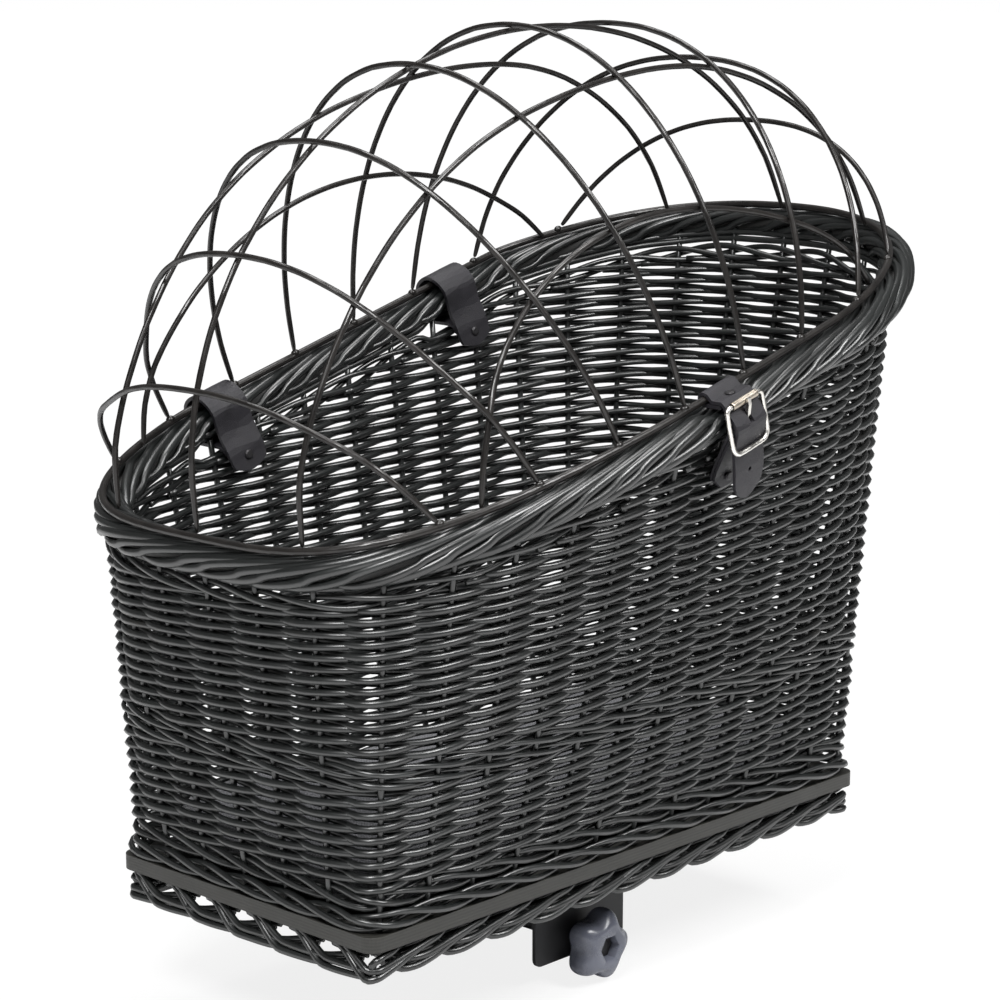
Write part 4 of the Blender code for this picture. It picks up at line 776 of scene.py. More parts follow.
@dataclass(frozen=True)
class Leather:
    """Dark leather with a pebbled grain and a paler, rubbed surface."""

    name: str = "dark_leather_grain"
    dark: Triple = (0.0050, 0.0045, 0.0066)
    light: Triple = (0.0150, 0.0132, 0.0182)
    rough: Span = (0.5, 0.68)
    pebble: float = 900.0
    crease_width: float = 0.25
    # How far the creases between pebbles are darkened: painted shade.
    crease_shade: float = 0.35

    def build(self) -> bpy.types.Material:
        """Make the material: cells for the pebbles, with painted shade darkening the creases between
        them, patches for the wear.

        Returns:
            The material.
        """
        material, nodes, shader = start_material(self.name)
        place = nodes.place()
        patches = place_effect(nodes, "mottle", place, scale=70.0, fine_scale=1600.0, fine_share=0.3)
        cells = nodes.add("ShaderNodeTexVoronoi", {"Vector": place, "Scale": self.pebble},
                          feature="DISTANCE_TO_EDGE")
        creases = nodes.spread(cells.outputs[0], 0.0, 1.0, 0.0, self.crease_width)
        colour = nodes.blend(patches["Mask"], rgb(self.dark), rgb(self.light))
        nodes.feed(shader, {
            # The creases between the pebbles are darkened toward the dark colour: painted shade.
            "Base Color": nodes.blend(nodes.spread(creases, self.crease_shade, 0.0), colour,
                                      rgb(self.dark)),
            "Roughness": nodes.spread(patches["Mask"], *self.rough),
            "Normal": nodes.bump(creases, 0.3, 0.0002)})
        return material


@dataclass(frozen=True)
class Canvas:
    """Woven cotton of the cushion, as threads over and under."""

    name: str = "cushion_canvas"
    dark: Triple = (0.060, 0.061, 0.068)
    light: Triple = (0.135, 0.136, 0.146)
    rough: float = 0.9
    sheen: float = 0.25
    thread: float = 0.0011

    def build(self) -> bpy.types.Material:
        """Make the material: two sets of sines crossed as a plain weave.

        Returns:
            The material.
        """
        material, nodes, shader = start_material(self.name)
        place = nodes.place()
        parts = nodes.split(place)
        waves = [nodes.maths("SINE", nodes.maths("MULTIPLY", parts[k], TURN / (2 * self.thread)))
                 for k in range(2)]
        threads = nodes.spread(nodes.maths("MULTIPLY", *waves), 0.0, 1.0, -0.9, 0.9)
        patches = place_effect(nodes, "mottle", place, scale=18.0, fine_scale=700.0, fine_share=0.4)
        shade = nodes.maths("MULTIPLY", threads, nodes.spread(patches["Mask"], 0.6, 1.0))
        nodes.feed(shader, {
            "Base Color": nodes.blend(shade, rgb(self.dark), rgb(self.light)),
            "Roughness": self.rough,
            "Sheen Weight": self.sheen,
            "Normal": nodes.bump(threads, 0.5, 0.0004)})
        return material


class Finish(Enum):
    """The basket's finishes."""

    WILLOW = Willow()
    # Dark matte willow colour for the border's inside: painted shade seen through the gaps between
    # the rods.
    CORE = Mottled("willow_shadow", (0.006, 0.006, 0.006), (0.014, 0.014, 0.013), (0.6, 0.8))
    PLYWOOD = Plywood()
    WIRE = Mottled("satin_wire_coat", (0.0075, 0.0068, 0.0065), (0.020, 0.0175, 0.016),
                   (0.26, 0.38), metallic=0.25, scale=60.0, fine_scale=1500.0, bump=0.03, coat=0.1)
    LEATHER = Leather()
    NICKEL = Mottled("nickel_plating", (0.56, 0.54, 0.50), (0.80, 0.78, 0.74), (0.16, 0.34),
                     metallic=1.0, scale=120.0, fine_scale=2500.0, bump=0.06, bump_depth=0.0001)
    BRASSY = Mottled("warm_nickel", (0.36, 0.31, 0.25), (0.62, 0.56, 0.48), (0.22, 0.40),
                     metallic=1.0, scale=120.0, fine_scale=2500.0, bump=0.08, bump_depth=0.0001)
    DULL = Mottled("blackened_nickel", (0.030, 0.029, 0.031), (0.060, 0.058, 0.060), (0.35, 0.5),
                   metallic=0.8, scale=120.0, fine_scale=2500.0, bump=0.08, bump_depth=0.0001)
    STEEL = Mottled("black_powder_coat", (0.012, 0.012, 0.013), (0.022, 0.022, 0.024), (0.45, 0.6),
                    metallic=0.2, scale=50.0, fine_scale=1800.0, bump=0.25)
    PLASTIC = Mottled("moulded_plastic", (0.080, 0.085, 0.110), (0.130, 0.138, 0.170), (0.20, 0.34),
                      scale=45.0, fine_scale=2200.0, bump=0.15, bump_depth=0.00015)
    CANVAS = Canvas()

    def material(self) -> bpy.types.Material:
        """The finish's material, made on its first use."""
        return bpy.data.materials.get(self.value.name) or self.value.build()


# Woven parts


@dataclass
class WovenWall:
    """Stakes, rows of weaving over one and under one, and the bands of waling."""

    wall: Wall
    seed: int = 11
    rod_radius: float = 0.00208
    rod_steps: int = 6
    rod_waver: Waver = Waver(0.09, 4, 9.0)
    out_waver: Waver = Waver(0.00025, 4, 40.0)
    rise_waver: Waver = Waver(0.00024, 5, 24.0)
    stake_radius: float = 0.0020
    stake_taper: float = 0.1
    stake_top: float = -0.012
    stake_steps: int = 14
    weave_reach: float = 0.0026
    weave_flatness: float = 0.6
    slant: float = 0.00085
    row_tilt: float = 0.065
    tilt_span: Span = (0.125, 0.285)
    pitch: float = 0.00355
    shortest_row: int = 8
    upsett_low: float = 0.0301
    upsett_top: float = 0.0519
    upsett_lean: float = 0.0036
    upsett_radius: float = 0.0019
    mid_low: float = 0.1079
    mid_high: float = 0.1219
    mid_radius: float = 0.0016
    weave_top: float = 0.372
    wale_top: float = -0.0243
    wale_bottom: float = -0.0348
    wale_lap: float = 0.002
    wale_radius: float = 0.0018
    wale_reach: Span = (0.0032, 0.0034)
    strands: int = 3
    strand_steps: int = 8
    strand_reach: float = 0.0031
    strand_lap: float = 0.0002
    strand_waver: Waver = Waver(0.08, 4, 9.0)
    strand_out: Waver = Waver(0.0002, 4, 30.0)
    strand_up: Waver = Waver(0.0003, 4, 30.0)
    filler_depths: Span = (-0.0219, -0.0184)
    filler_radius: float = 0.0021
    filler_up: Waver = Waver(0.0003, 5, 30.0)
    filler_out: Waver = Waver(0.0004, 5, 30.0)
    hinge_places: Span = (-0.1120, 0.0929)
    hinge_span: Span = (0.0165, 0.028)
    wale_press: float = 0.0028
    wale_squeeze: Span = (0.2, 0.55)
    filler_press: float = 0.0032

    def __post_init__(self) -> None:
        """Start the seeded source of the rods' unevenness."""
        self.rng = np.random.default_rng(self.seed)

    def stakes(self) -> None:
        """Upright rods from the board up into the border, each a straight line on the wall."""
        mesh = Mesh()
        for k in range(self.wall.stakes):
            shares = np.full(self.stake_steps, k / self.wall.stakes)
            top = float(self.wall.climb_of_depth(shares[:1], self.stake_top)[0])
            climb = np.linspace(0.0, top, self.stake_steps)
            path, outward = self.wall.at(shares, climb, 0.0)
            thick = self.stake_radius * (1 - self.stake_taper * climb)
            rod(mesh, path, thick, outward, self.rng.random())
        mesh.willow("stakes")

    def row_height(self, shares: Array, height: float) -> Array:
        """Height along a row, which rises to the high end the more, the higher the row lies."""
        tilt = self.row_tilt * smooth_step(height, *self.tilt_span)
        return height + tilt * self.wall.edges(shares)[:, 4]

    def row_span(self, height: float, steps: int) -> tuple[int, int] | None:
        """The run of steps on which a row lies below the slanted wale.

        Args:
            height: Height of the row in the middle of the basket.
            steps: Steps round the whole wall.

        Returns:
            First and last step, or None where the row goes all the way round.
        """
        shares = np.arange(steps) / steps
        climb = self.wall.climb_of_depth(shares, self.wale_bottom)
        limit = self.wall.bottom + climb * (self.wall.edges(shares)[:, 6] - self.wall.bottom)
        inside = self.row_height(shares, height) < limit + self.wale_lap
        if inside.all():
            return None
        return 1 - int(np.argmin(inside[::-1])), int(np.argmin(inside)) - 1

    def rows(self, mesh: Mesh, low: float, high: float) -> None:
        """Rows of weaving between two heights.

        A row's middle moves in and out by a flattened cosine of one stake's
        width and up and down by its sine, and the next row moves the other way.

        Args:
            mesh: Where the rows go.
            low: Lower edge of the rows.
            high: Upper edge of the rows.
        """
        steps = self.wall.stakes * self.rod_steps
        count = int(round((high - low) / self.pitch))
        for k in range(count):
            height = low + (k + 0.5) * (high - low) / count
            span = self.row_span(height, steps)
            index = np.arange(steps) if span is None else np.arange(span[0], span[1] + 1)
            if len(index) < self.shortest_row:
                continue
            shares = index / steps
            side = 1 if k % 2 else -1
            wave = np.cos(math.pi * shares * self.wall.stakes)
            wave = np.sign(wave) * np.abs(wave) ** self.weave_flatness
            offset = side * self.weave_reach * wave + self.out_waver.line(shares, self.rng)
            rise = side * self.slant * np.sin(math.pi * shares * self.wall.stakes)
            rise = rise + self.rise_waver.line(shares, self.rng)
            radius = self.rod_radius * (1 + self.rod_waver.line(shares, self.rng))
            heights = self.row_height(shares, height) + rise
            path, outward = self.wall.at_height(shares, heights, offset)
            rod(mesh, path, radius, outward, self.rng.random(), closed=span is None)

    def rope(self, mesh: Mesh, reach: Span, radius: float, place: Place) -> None:
        """A band of waling: strands that turn about each other along the wall.

        A strand's middle runs on an ellipse round the band's middle line, one
        turn for as many stakes as there are strands.

        Args:
            mesh: Where the strands go.
            reach: Half-sizes of the ellipse, outwards and upwards.
            radius: Radius of a strand.
            place: Gives points and outward directions from shares, outward and upward offsets.
        """
        steps = self.wall.stakes * self.strand_steps
        shares = np.arange(steps) / steps
        turns = self.wall.stakes // self.strands
        for k in range(self.strands):
            angle = -TURN * (shares * turns + k / self.strands)
            out = reach[0] * np.cos(angle) + self.strand_out.line(shares, self.rng)
            up = reach[1] * np.sin(angle) + self.strand_up.line(shares, self.rng)
            path, outward = place(shares, out, up)
            thick = radius * (1 + self.strand_waver.line(shares, self.rng))
            rod(mesh, path, thick, outward, self.rng.random(), sides=8, closed=True)

    def level_band(self, name: str, node: str, span: Span, lean: float, radius: float) -> None:
        """A wale at one height: two ropes of strands, one on the other.

        Args:
            name: Name of the piece.
            node: The solid that it stands for.
            span: Lower and upper edge.
            lean: How far the lower rope stands out.
            radius: Radius of a strand.
        """
        mesh = Mesh()
        size = (span[1] - span[0]) / 2
        reach = (self.strand_reach, size / 2 - radius + self.strand_lap)
        for k, shift in enumerate((lean, 0.0)):
            middle = span[0] + (k + 0.5) * size

            def place(shares: Array, out: Array, up: Array) -> tuple[Array, Array]:
                """Points of this rope from its offsets."""
                return self.wall.at_height(shares, middle + up, out + shift)

            self.rope(mesh, reach, radius, place)
        mesh.willow(name, node)

    def hinge_nearness(self, shares: Array) -> Array:
        """1 where a hinge strap passes over the far side, falling to 0 beside it.

        Args:
            shares: Shares of the way round.

        Returns:
            The nearness at each share.
        """
        plan, _ = RIM.border(shares)
        gap = np.abs(plan[:, :1] - np.array(self.hinge_places)).min(axis=1)
        return (1 - smooth_step(gap, *self.hinge_span)) * (plan[:, 1] > 0)

    def rim_band(self) -> None:
        """The wale, pressed down where the hinge straps pass, and two rods above it."""
        mesh = Mesh()
        middle = (self.wale_top + self.wale_bottom) / 2

        def place(shares: Array, out: Array, up: Array) -> tuple[Array, Array]:
            """Points of the slanted wale from its offsets."""
            near = self.hinge_nearness(shares)
            depth = middle - self.wale_press * near + up * (1 - self.wale_squeeze[1] * near)
            return self.wall.at_depth(shares, depth, out * (1 - self.wale_squeeze[0] * near))

        self.rope(mesh, self.wale_reach, self.wale_radius, place)
        steps = self.wall.stakes * self.strand_steps
        shares = np.arange(steps) / steps
        near = self.hinge_nearness(shares)
        for depth in self.filler_depths:
            depths = depth + self.filler_press * near + self.filler_up.line(shares, self.rng)
            offset = self.filler_out.line(shares, self.rng)
            path, outward = self.wall.at_depth(shares, depths, offset)
            rod(mesh, path, self.filler_radius, outward, self.rng.random(), sides=8, closed=True)
        mesh.willow("rim_waling", "rim_wale")

    def build(self) -> None:
        """Make the whole wall."""
        self.stakes()
        lower = Mesh()
        self.rows(lower, self.upsett_top, self.mid_low)
        lower.willow("lower_weave", "lower_wall")
        upper = Mesh()
        self.rows(upper, self.mid_high, self.weave_top)
        upper.willow("upper_weave", "upper_wall")
        self.level_band("upsett_waling", "upsett_wale", (self.upsett_low, self.upsett_top),
                        self.upsett_lean, self.upsett_radius)
        self.level_band("middle_waling", "mid_wale", (self.mid_low, self.mid_high), 0.0,
                        self.mid_radius)
        self.rim_band()


@dataclass
class PlaitedBorder:
    """The thick border on the rim: rods that sweep from under it over its outside to its inside."""

    stakes: int = 36
    seed: int = 5
    radius: float = 0.0029
    rods: int = 60
    steps: int = 46
    stakes_per_sweep: float = 5.2
    squareness: float = 2.9
    sweep_start: float = math.radians(-115)
    sweep: float = math.radians(350)
    sway: float = 0.05
    lap: float = 0.0003
    tuck: float = 0.0035
    tuck_spans: tuple[Span, Span] = ((0.0, 0.09), (0.9, 1.0))
    depth_waver: Waver = Waver(0.5, 3, 5.0)
    depth_play: float = 0.0006
    thickness: Span = (0.94, 0.10)
    taper: float = 0.25
    taper_span: Span = (0.8, 1.0)
    start_play: float = 0.25
    closure_place: float = -0.0135
    closure_floor: float = -0.0067
    closure_span: Span = (0.0150, 0.034)
    closure_side: Span = (-0.0085, -0.0045)
    closure_ease: float = 0.2
    bundle_inset: float = 0.0046
    bundle_steps: int = 216
    bundle_sides: int = 16

    def outline(self, angle: Array, inset: Array | float) -> Array:
        """Section of the border: a rounded square drawn by a power of sine and cosine.

        Args:
            angle: Angles round the section, from its outside up.
            inset: Distances inside the border's skin.

        Returns:
            Places (n, w), outwards and upwards.
        """
        half_n = RIM.border_reach - inset
        half_w = RIM.border_height / 2 - inset
        power = 2 / self.squareness
        n = half_n * np.sign(np.cos(angle)) * np.abs(np.cos(angle)) ** power
        w = half_w * np.sign(np.sin(angle)) * np.abs(np.sin(angle)) ** power
        return np.stack((n, w + RIM.border_top - RIM.border_height / 2), axis=-1)

    def place(self, shares: Array, section: Array) -> tuple[Array, Array]:
        """World points along the border, held down where the closure strap crosses it.

        Args:
            shares: Shares of the way round.
            section: Places (n, w) in the section, one for each share.

        Returns:
            The points, and their directions from the border's middle.
        """
        plan, normal = RIM.border(shares)
        n, w = section.T
        point = plan + normal * n[:, None]
        near = 1 - smooth_step(np.abs(point[:, 0] - self.closure_place), *self.closure_span)
        near = near * smooth_step(n, *self.closure_side) * (point[:, 1] < 0)
        limit = RIM.border_top * (1 - near) + self.closure_floor * near - self.radius
        held = np.minimum(w, limit + (RIM.border_top - limit) * (1 - near) * self.closure_ease)
        world = RIM.world(point[:, 0], point[:, 1], np.where(near > 0, held, w))
        middle = RIM.world(plan[:, 0], plan[:, 1], RIM.border_top - RIM.border_height / 2)
        return world, unit(world - middle)

    def sweeps(self) -> None:
        """The rods: each turns round the section, a little deeper at both its ends."""
        rng = np.random.default_rng(self.seed)
        mesh = Mesh()
        share = np.linspace(0.0, 1.0, self.steps)
        angle = self.sweep_start + self.sweep * (share + self.sway * np.sin(TURN * share))
        taper = 1 - self.taper * smooth_step(share, *self.taper_span)
        start_span, end_span = self.tuck_spans
        ends = 1 - smooth_step(share, *start_span) + smooth_step(share, *end_span)
        for k in range(self.rods):
            start = (k + self.start_play * rng.uniform(-1, 1)) / self.rods
            shares = start + share * self.stakes_per_sweep / self.stakes
            play = self.depth_play * (0.5 + self.depth_waver.line(share, rng))
            depth = self.radius + self.lap + self.tuck * ends + play
            path, outward = self.place(shares, self.outline(angle, depth))
            thick = self.radius * (self.thickness[0] + self.thickness[1] * rng.uniform(-1, 1))
            rod(mesh, path, thick * taper, outward, rng.random(), sides=8)
        mesh.willow("plaited_border", "rim_border")

    def bundle(self) -> None:
        """The core: a smaller outline carried all the way round, a matte dark sheet of painted shade
        seen through the gaps between the rods.
        """
        shares = np.arange(self.bundle_steps) / self.bundle_steps
        sides = full_turn(self.bundle_sides)
        outline = self.outline(sides, self.bundle_inset)
        lines = [self.place(shares, np.broadcast_to(spot, (len(shares), 2)))[0] for spot in outline]
        chart = chart_of(shares * 1.5, sides / TURN)
        mesh = Mesh()
        mesh.add(np.stack(lines, axis=1), chart, 0.2, closed=True)
        mesh.piece("border_bundle", Finish.CORE.material(), "basket")

    def build(self) -> None:
        """Make the rods and the core of painted shade."""
        self.sweeps()
        self.bundle()


@dataclass
class FootBorder:
    """The border under the board: rods that come down through it and lie slantwise together."""

    seed: int = 8
    count: int = 36
    radius: float = 0.0022
    strands: int = 2
    steps: int = 30
    reach: float = 2.5
    strand_shift: float = 0.12
    layer: float = 0.0046
    half_x: float = 0.2118
    half_y: float = 0.1043
    corner: float = 0.0079
    bottom: float = 0.002
    top: float = 0.0203
    lap: float = 0.0001
    side_facing: Span = (0.3, 0.9)
    end_drop: Span = (0.0, 0.34)
    end_rise: Span = (0.62, 1.0)
    end_lift: float = 0.0075
    end_layer_share: float = 0.4
    end_inset: float = 0.0056
    end_out: float = 0.0034
    end_out_share: float = 0.75
    end_in: float = 0.0040
    end_in_span: Span = (0.7, 1.0)
    side_drop: Span = (0.0, 0.3)
    side_climb: Span = (0.30, 1.05)
    side_inset: float = 0.0088
    side_out: float = 0.0063
    side_out_span: Span = (0.12, 0.42)
    side_in: float = 0.0022
    side_in_span: Span = (0.9, 1.0)
    inset_waver: Waver = Waver(0.0002, 3, 4.0)
    thickness: Span = (0.95, 0.08)
    taper: float = 0.3
    taper_span: Span = (0.85, 1.0)
    bundle_radius: float = 0.0029
    bundle_inset: float = 0.0094
    bundle_end: float = 0.016
    bundle_low: float = 0.0034
    bundle_pitch: float = 0.0056
    bundle_waver: Waver = Waver(0.0003, 3, 9.0)

    def side_bundles(self, mesh: Mesh) -> None:
        """Straight rod ends that lie behind the border under the two long sides.

        Args:
            mesh: Where the rods go.
        """
        rng = np.random.default_rng(self.seed + 1)
        x = np.linspace(-1, 1, 24) * (self.half_x - self.bundle_end)
        up = np.tile((0.0, 0.0, 1.0), (len(x), 1))
        for side in (-1, 1):
            for level in range(3):
                y = side * (self.half_y - self.bundle_inset) + self.bundle_waver.line(x, rng)
                z = self.bottom + self.bundle_low + self.bundle_pitch * level
                path = np.column_stack((x, y, np.full_like(x, z)))
                rod(mesh, path, self.bundle_radius, up, rng.random() * 0.4, sides=8)

    def end_line(self, share: Array, layer: float, low: float) -> tuple[Array, Array]:
        """A rod's line under a short side: down, out on a half sine, then up and in.

        Args:
            share: Shares of the rod's length.
            layer: Height of the rod's layer over the lowest.
            low: Height of the lowest layer.

        Returns:
            Heights, and distances inside the border's outer face.
        """
        lift = self.end_lift - self.end_layer_share * layer
        height = self.top + (low + layer - self.top) * smooth_step(share, *self.end_drop)
        out = np.sin(math.pi * np.clip(share / self.end_out_share, 0, 1))
        inset = self.end_inset - self.end_out * out
        inset = inset + self.end_in * smooth_step(share, *self.end_in_span)
        return height + lift * smooth_step(share, *self.end_rise), inset

    def side_line(self, share: Array, layer: float, low: float) -> tuple[Array, Array]:
        """A rod's line under a long side: down and out, then back up to the board.

        Args:
            share: Shares of the rod's length.
            layer: Height of the rod's layer over the lowest.
            low: Height of the lowest layer.

        Returns:
            Heights, and distances inside the border's outer face.
        """
        climb = smooth_step(share, *self.side_climb)
        drop = smooth_step(share, *self.side_drop)
        height = self.top + (low + layer * (1 - climb) - self.top) * drop
        height = height + (self.top - self.radius - low) * climb
        inset = self.side_inset - self.side_out * smooth_step(share, *self.side_out_span)
        return height, inset + self.side_in * smooth_step(share, *self.side_in_span)

    def build(self) -> None:
        """Make the rods of each hole of the board, and the bundles behind them.

        Between a short and a long side a rod's line is a mix of the two, by
        the way that the border faces there.
        """
        rng = np.random.default_rng(self.seed)
        edge = Wall(half_x=self.half_x, half_y=self.half_y, corner=self.corner)
        mesh = Mesh()
        low = self.bottom + self.radius + self.lap
        share = np.linspace(0.0, 1.0, self.steps)
        taper = 1 - self.taper * smooth_step(share, *self.taper_span)
        for k in range(self.count):
            for strand in range(self.strands):
                shares = (k + self.strand_shift * strand + share * self.reach) / self.count
                row = edge.edges(shares)
                side = smooth_step(np.abs(row[:, 3]), *self.side_facing)
                ends = self.end_line(share, strand * self.layer, low)
                sides = self.side_line(share, strand * self.layer, low)
                height, inset = (a * (1 - side) + b * side for a, b in zip(ends, sides))
                height = np.clip(height, low, self.top - self.radius)
                inset = inset + self.inset_waver.line(share, rng)
                path = np.column_stack((row[:, :2] - row[:, 2:4] * inset[:, None], height))
                outward = np.column_stack((row[:, 2:4], np.zeros(len(row))))
                thick = self.radius * (self.thickness[0] + self.thickness[1] * rng.uniform(-1, 1))
                rod(mesh, path, thick * taper, outward, rng.random(), sides=8)
        self.side_bundles(mesh)
        mesh.willow("foot_weave", "foot_border")


# Wires, leather, metal, cushion


def carry_over(name: str, finish: Finish, bevel: float = 0.0, rounds: int = 0) -> bpy.types.Object:
    """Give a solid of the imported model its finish, joined faces and softened edges.

    Args:
        name: The solid's name.
        finish: Its finish.
        bevel: Width of the softened edges, or zero for none.
        rounds: Levels of rounding, or zero for none.

    Returns:
        The solid.
    """
    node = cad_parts[name]
    node.data.materials.clear()
    node.data.materials.append(finish.material())
    weld = node.modifiers.new("join", "WELD")
    weld.merge_threshold = JOIN_DISTANCE
    if bevel:
        soften = node.modifiers.new("soften", "BEVEL")
        soften.width = bevel
        soften.segments = 2
        soften.limit_method = "ANGLE"
        soften.angle_limit = EDGE_ANGLE
        even = node.modifiers.new("even", "WEIGHTED_NORMAL")
        even.keep_sharp = True
    if rounds:
        round_off(node, rounds)
    LOG.info("%s: %s", name, finish.name.lower())
    return node


def round_off(node: bpy.types.Object, levels: int) -> None:
    """Round a solid by subdivision."""
    rounding = node.modifiers.new("round", "SUBSURF")
    rounding.levels = rounding.render_levels = levels


@dataclass
class Board:
    """The plywood board that the stakes stand in."""

    edge: float = 0.0008

    def build(self) -> None:
        """Dress the board."""
        carry_over("base_board", Finish.PLYWOOD, self.edge)


@dataclass
class LidWires:
    """The ring and the bent wires of the lid, with a blob of weld at each foot."""

    foot_shares: tuple[float, ...] = (-0.7815, -0.5655, -0.3578, -0.1606, 0.0369, 0.2409, 0.4644,
                                      0.7121)
    hoops_across: int = 8
    hoops_along: int = 5
    swell: float = 0.00028
    weld: Triple = (0.0030, 0.0024, 0.0021)
    weld_inset: float = 0.0004
    weld_height: float = 0.0017
    weld_rings: int = 9
    weld_sides: int = 10
    pole: float = 0.02

    def blob(self, mesh: Mesh, centre: Array) -> None:
        """Add an egg of weld: a sphere of rings scaled along each axis.

        Args:
            mesh: Where the egg goes.
            centre: Its middle.
        """
        fall = np.linspace(self.pole, math.pi - self.pole, self.weld_rings)
        angle = full_turn(self.weld_sides)
        ring = np.sin(fall)[:, None]
        level = np.broadcast_to(-np.cos(fall)[:, None], (len(fall), len(angle)))
        grid = np.stack((ring * np.cos(angle), ring * np.sin(angle), level), axis=-1)
        world = RIM.turn(grid * np.array(self.weld)) + centre
        mesh.add(world, chart_of(fall * 0.002, angle / TURN), 0.5, caps=True)

    def build(self) -> None:
        """Round the wires and weld their feet."""
        across = [f"hoop_across_{k + 1}" for k in range(self.hoops_across)]
        lengthwise = [f"hoop_along_{k + 1}" for k in range(self.hoops_along)]
        for name in ("lid_ring", *across, *lengthwise):
            node = carry_over(name, Finish.WIRE)
            swell = node.modifiers.new("swell", "DISPLACE")
            swell.mid_level = 0.0
            swell.strength = self.swell
            round_off(node, 2)
        mesh = Mesh()
        for share in self.foot_shares:
            u = share * RIM.half_length
            for side in (-1, 1):
                v = side * (float(RIM.half_width(u, side)) - self.weld_inset)
                self.blob(mesh, RIM.world(u, v, self.weld_height))
        mesh.piece("hoop_welds", Finish.WIRE.material(), "lid")


@dataclass
class Straps:
    """The leather: two hinge loops, the closure strap and the doubled strap of the buckle."""

    names: tuple[str, ...] = ("hinge_strap_1", "hinge_strap_2", "billet_strap", "chape_strap")
    edge: float = 0.0004

    def build(self) -> None:
        """Dress the straps."""
        for name in self.names:
            carry_over(name, Finish.LEATHER, self.edge, rounds=1)


@dataclass
class Buckle:
    """The roller buckle and the rivets."""

    roller_length: float = 0.0214
    roller_out: float = 0.00220
    roller_in: float = 0.0019
    ridges: int = 22
    ridge: float = 0.00012
    ridge_rows: int = 26
    plain_end: float = 0.0010
    stations: int = 132
    steps: int = 90
    place: float = -0.0135
    out: float = 0.01715
    drop: float = 0.003
    edge: float = 0.0002
    rivets: tuple[str, ...] = ("hinge_rivet_1", "hinge_rivet_2", "billet_rivet", "chape_rivet",
                               "chape_washer")

    def roller(self) -> None:
        """The knurled tube: its radius falls along two crossed sets of grooves.

        The groove depth follows the lesser of two sine waves that wind in
        opposite ways, and fades out to the plain ends.
        """
        turn = full_turn(self.stations)
        run = np.linspace(-self.roller_length / 2, self.roller_length / 2, self.steps)
        wound = run[:, None] / self.roller_length * self.ridge_rows * math.pi
        right = np.abs(np.sin(turn * self.ridges / 2 + wound))
        left = np.abs(np.sin(turn * self.ridges / 2 - wound))
        ends = smooth_step(self.roller_length / 2 - np.abs(run), 0.0, self.plain_end)[:, None]
        reach = self.roller_out - self.ridge * (1 - np.minimum(right, left) * ends)
        inner = np.full((1, self.stations), self.roller_in)
        radius = np.vstack((inner, reach, inner))
        x = np.concatenate((run[:1], run, run[-1:]))
        n = -(RIM.near + self.out) + radius * np.cos(turn)
        w = -self.drop + radius * np.sin(turn)
        grid = RIM.world((self.place + x)[:, None], n, w)
        mesh = Mesh()
        mesh.add(grid, chart_of(x, turn / TURN), 0.5)
        mesh.piece("knurled_roller", Finish.BRASSY.material(), "roller",
                   ("buckle_roller",))

    def build(self) -> None:
        """Make the roller and dress the rest."""
        self.roller()
        carry_over("buckle_frame", Finish.NICKEL, rounds=1)
        carry_over("buckle_prong", Finish.NICKEL, self.edge)
        for name in self.rivets:
            carry_over(name, Finish.DULL, self.edge)


@dataclass
class Clamp:
    """The clamp under the board with its star knob."""

    knob_back: float = -0.0637
    axis_height: float = -0.0375
    radius: float = 0.0222
    depth: float = 0.022
    lobes: int = 5
    lobe: float = 0.0052
    pocket: float = 0.0136
    pocket_depth: float = 0.0125
    pocket_edge: float = 0.0004
    bore: float = 0.0044
    stations: int = 240
    profile: tuple[Span, ...] = (
        (0.50, 0.00), (0.55, 0.03), (0.66, 0.10), (0.91, 0.22), (0.99, 0.38), (1.00, 0.58),
        (0.94, 0.77), (0.76, 0.92), (0.62, 0.985), (0.52, 1.00))
    profile_step: float = 0.03
    crease: float = math.radians(50)
    steel_edge: float = 0.0004
    small_edge: float = 0.0002

    def knob(self) -> None:
        """The knob: its profile carried round a star whose lobes are a cosine of the angle.

        The pocket is a hexagon, whose reach is its half-width over the cosine
        of the angle from the nearest flat.
        """
        turn = full_turn(self.stations)
        lines = flowing(np.array(self.profile), self.profile_step)
        reach = lines[:, :1]
        fall = self.lobe * np.maximum(0.0, (reach - 0.5) * 2)
        outer = self.radius * reach - fall * (0.5 - 0.5 * np.cos(self.lobes * turn))
        sector = math.pi / 3
        hexagon = self.pocket / 2 / np.cos(np.mod(turn, sector) - sector / 2)
        bore = np.full_like(turn, self.bore)
        floor = self.depth - self.pocket_depth
        radius = np.vstack((outer, hexagon + self.pocket_edge, hexagon, hexagon, bore, bore))
        height = np.concatenate((self.depth * lines[:, 1], (
            self.depth, self.depth - self.pocket_edge, floor + self.pocket_edge / 2, floor, 0.0)))
        depth = np.broadcast_to(self.knob_back - height[:, None], radius.shape)
        rise = self.axis_height + radius * np.sin(turn)
        mesh = Mesh()
        mesh.add(np.stack((radius * np.cos(turn), depth, rise), axis=-1),
                 chart_of(height, turn / TURN), 0.5, closed=True)
        made = mesh.piece("knob_grip", Finish.PLASTIC.material(), "knob",
                          ("star_knob",))
        made.data.set_sharp_from_angle(angle=self.crease)

    def build(self) -> None:
        """Make the knob and dress the rest of the clamp."""
        self.knob()
        for name in ("clamp_rail", "near_jaw", "far_jaw", "clamp_bolt"):
            carry_over(name, Finish.STEEL, self.steel_edge)
        for name in ("knob_nut", "knob_washer"):
            carry_over(name, Finish.DULL, self.small_edge)
        for kind in ("rail_screw", "rail_nut"):
            for k in range(1, 5):
                carry_over(f"{kind}_{k}", Finish.NICKEL, self.small_edge)


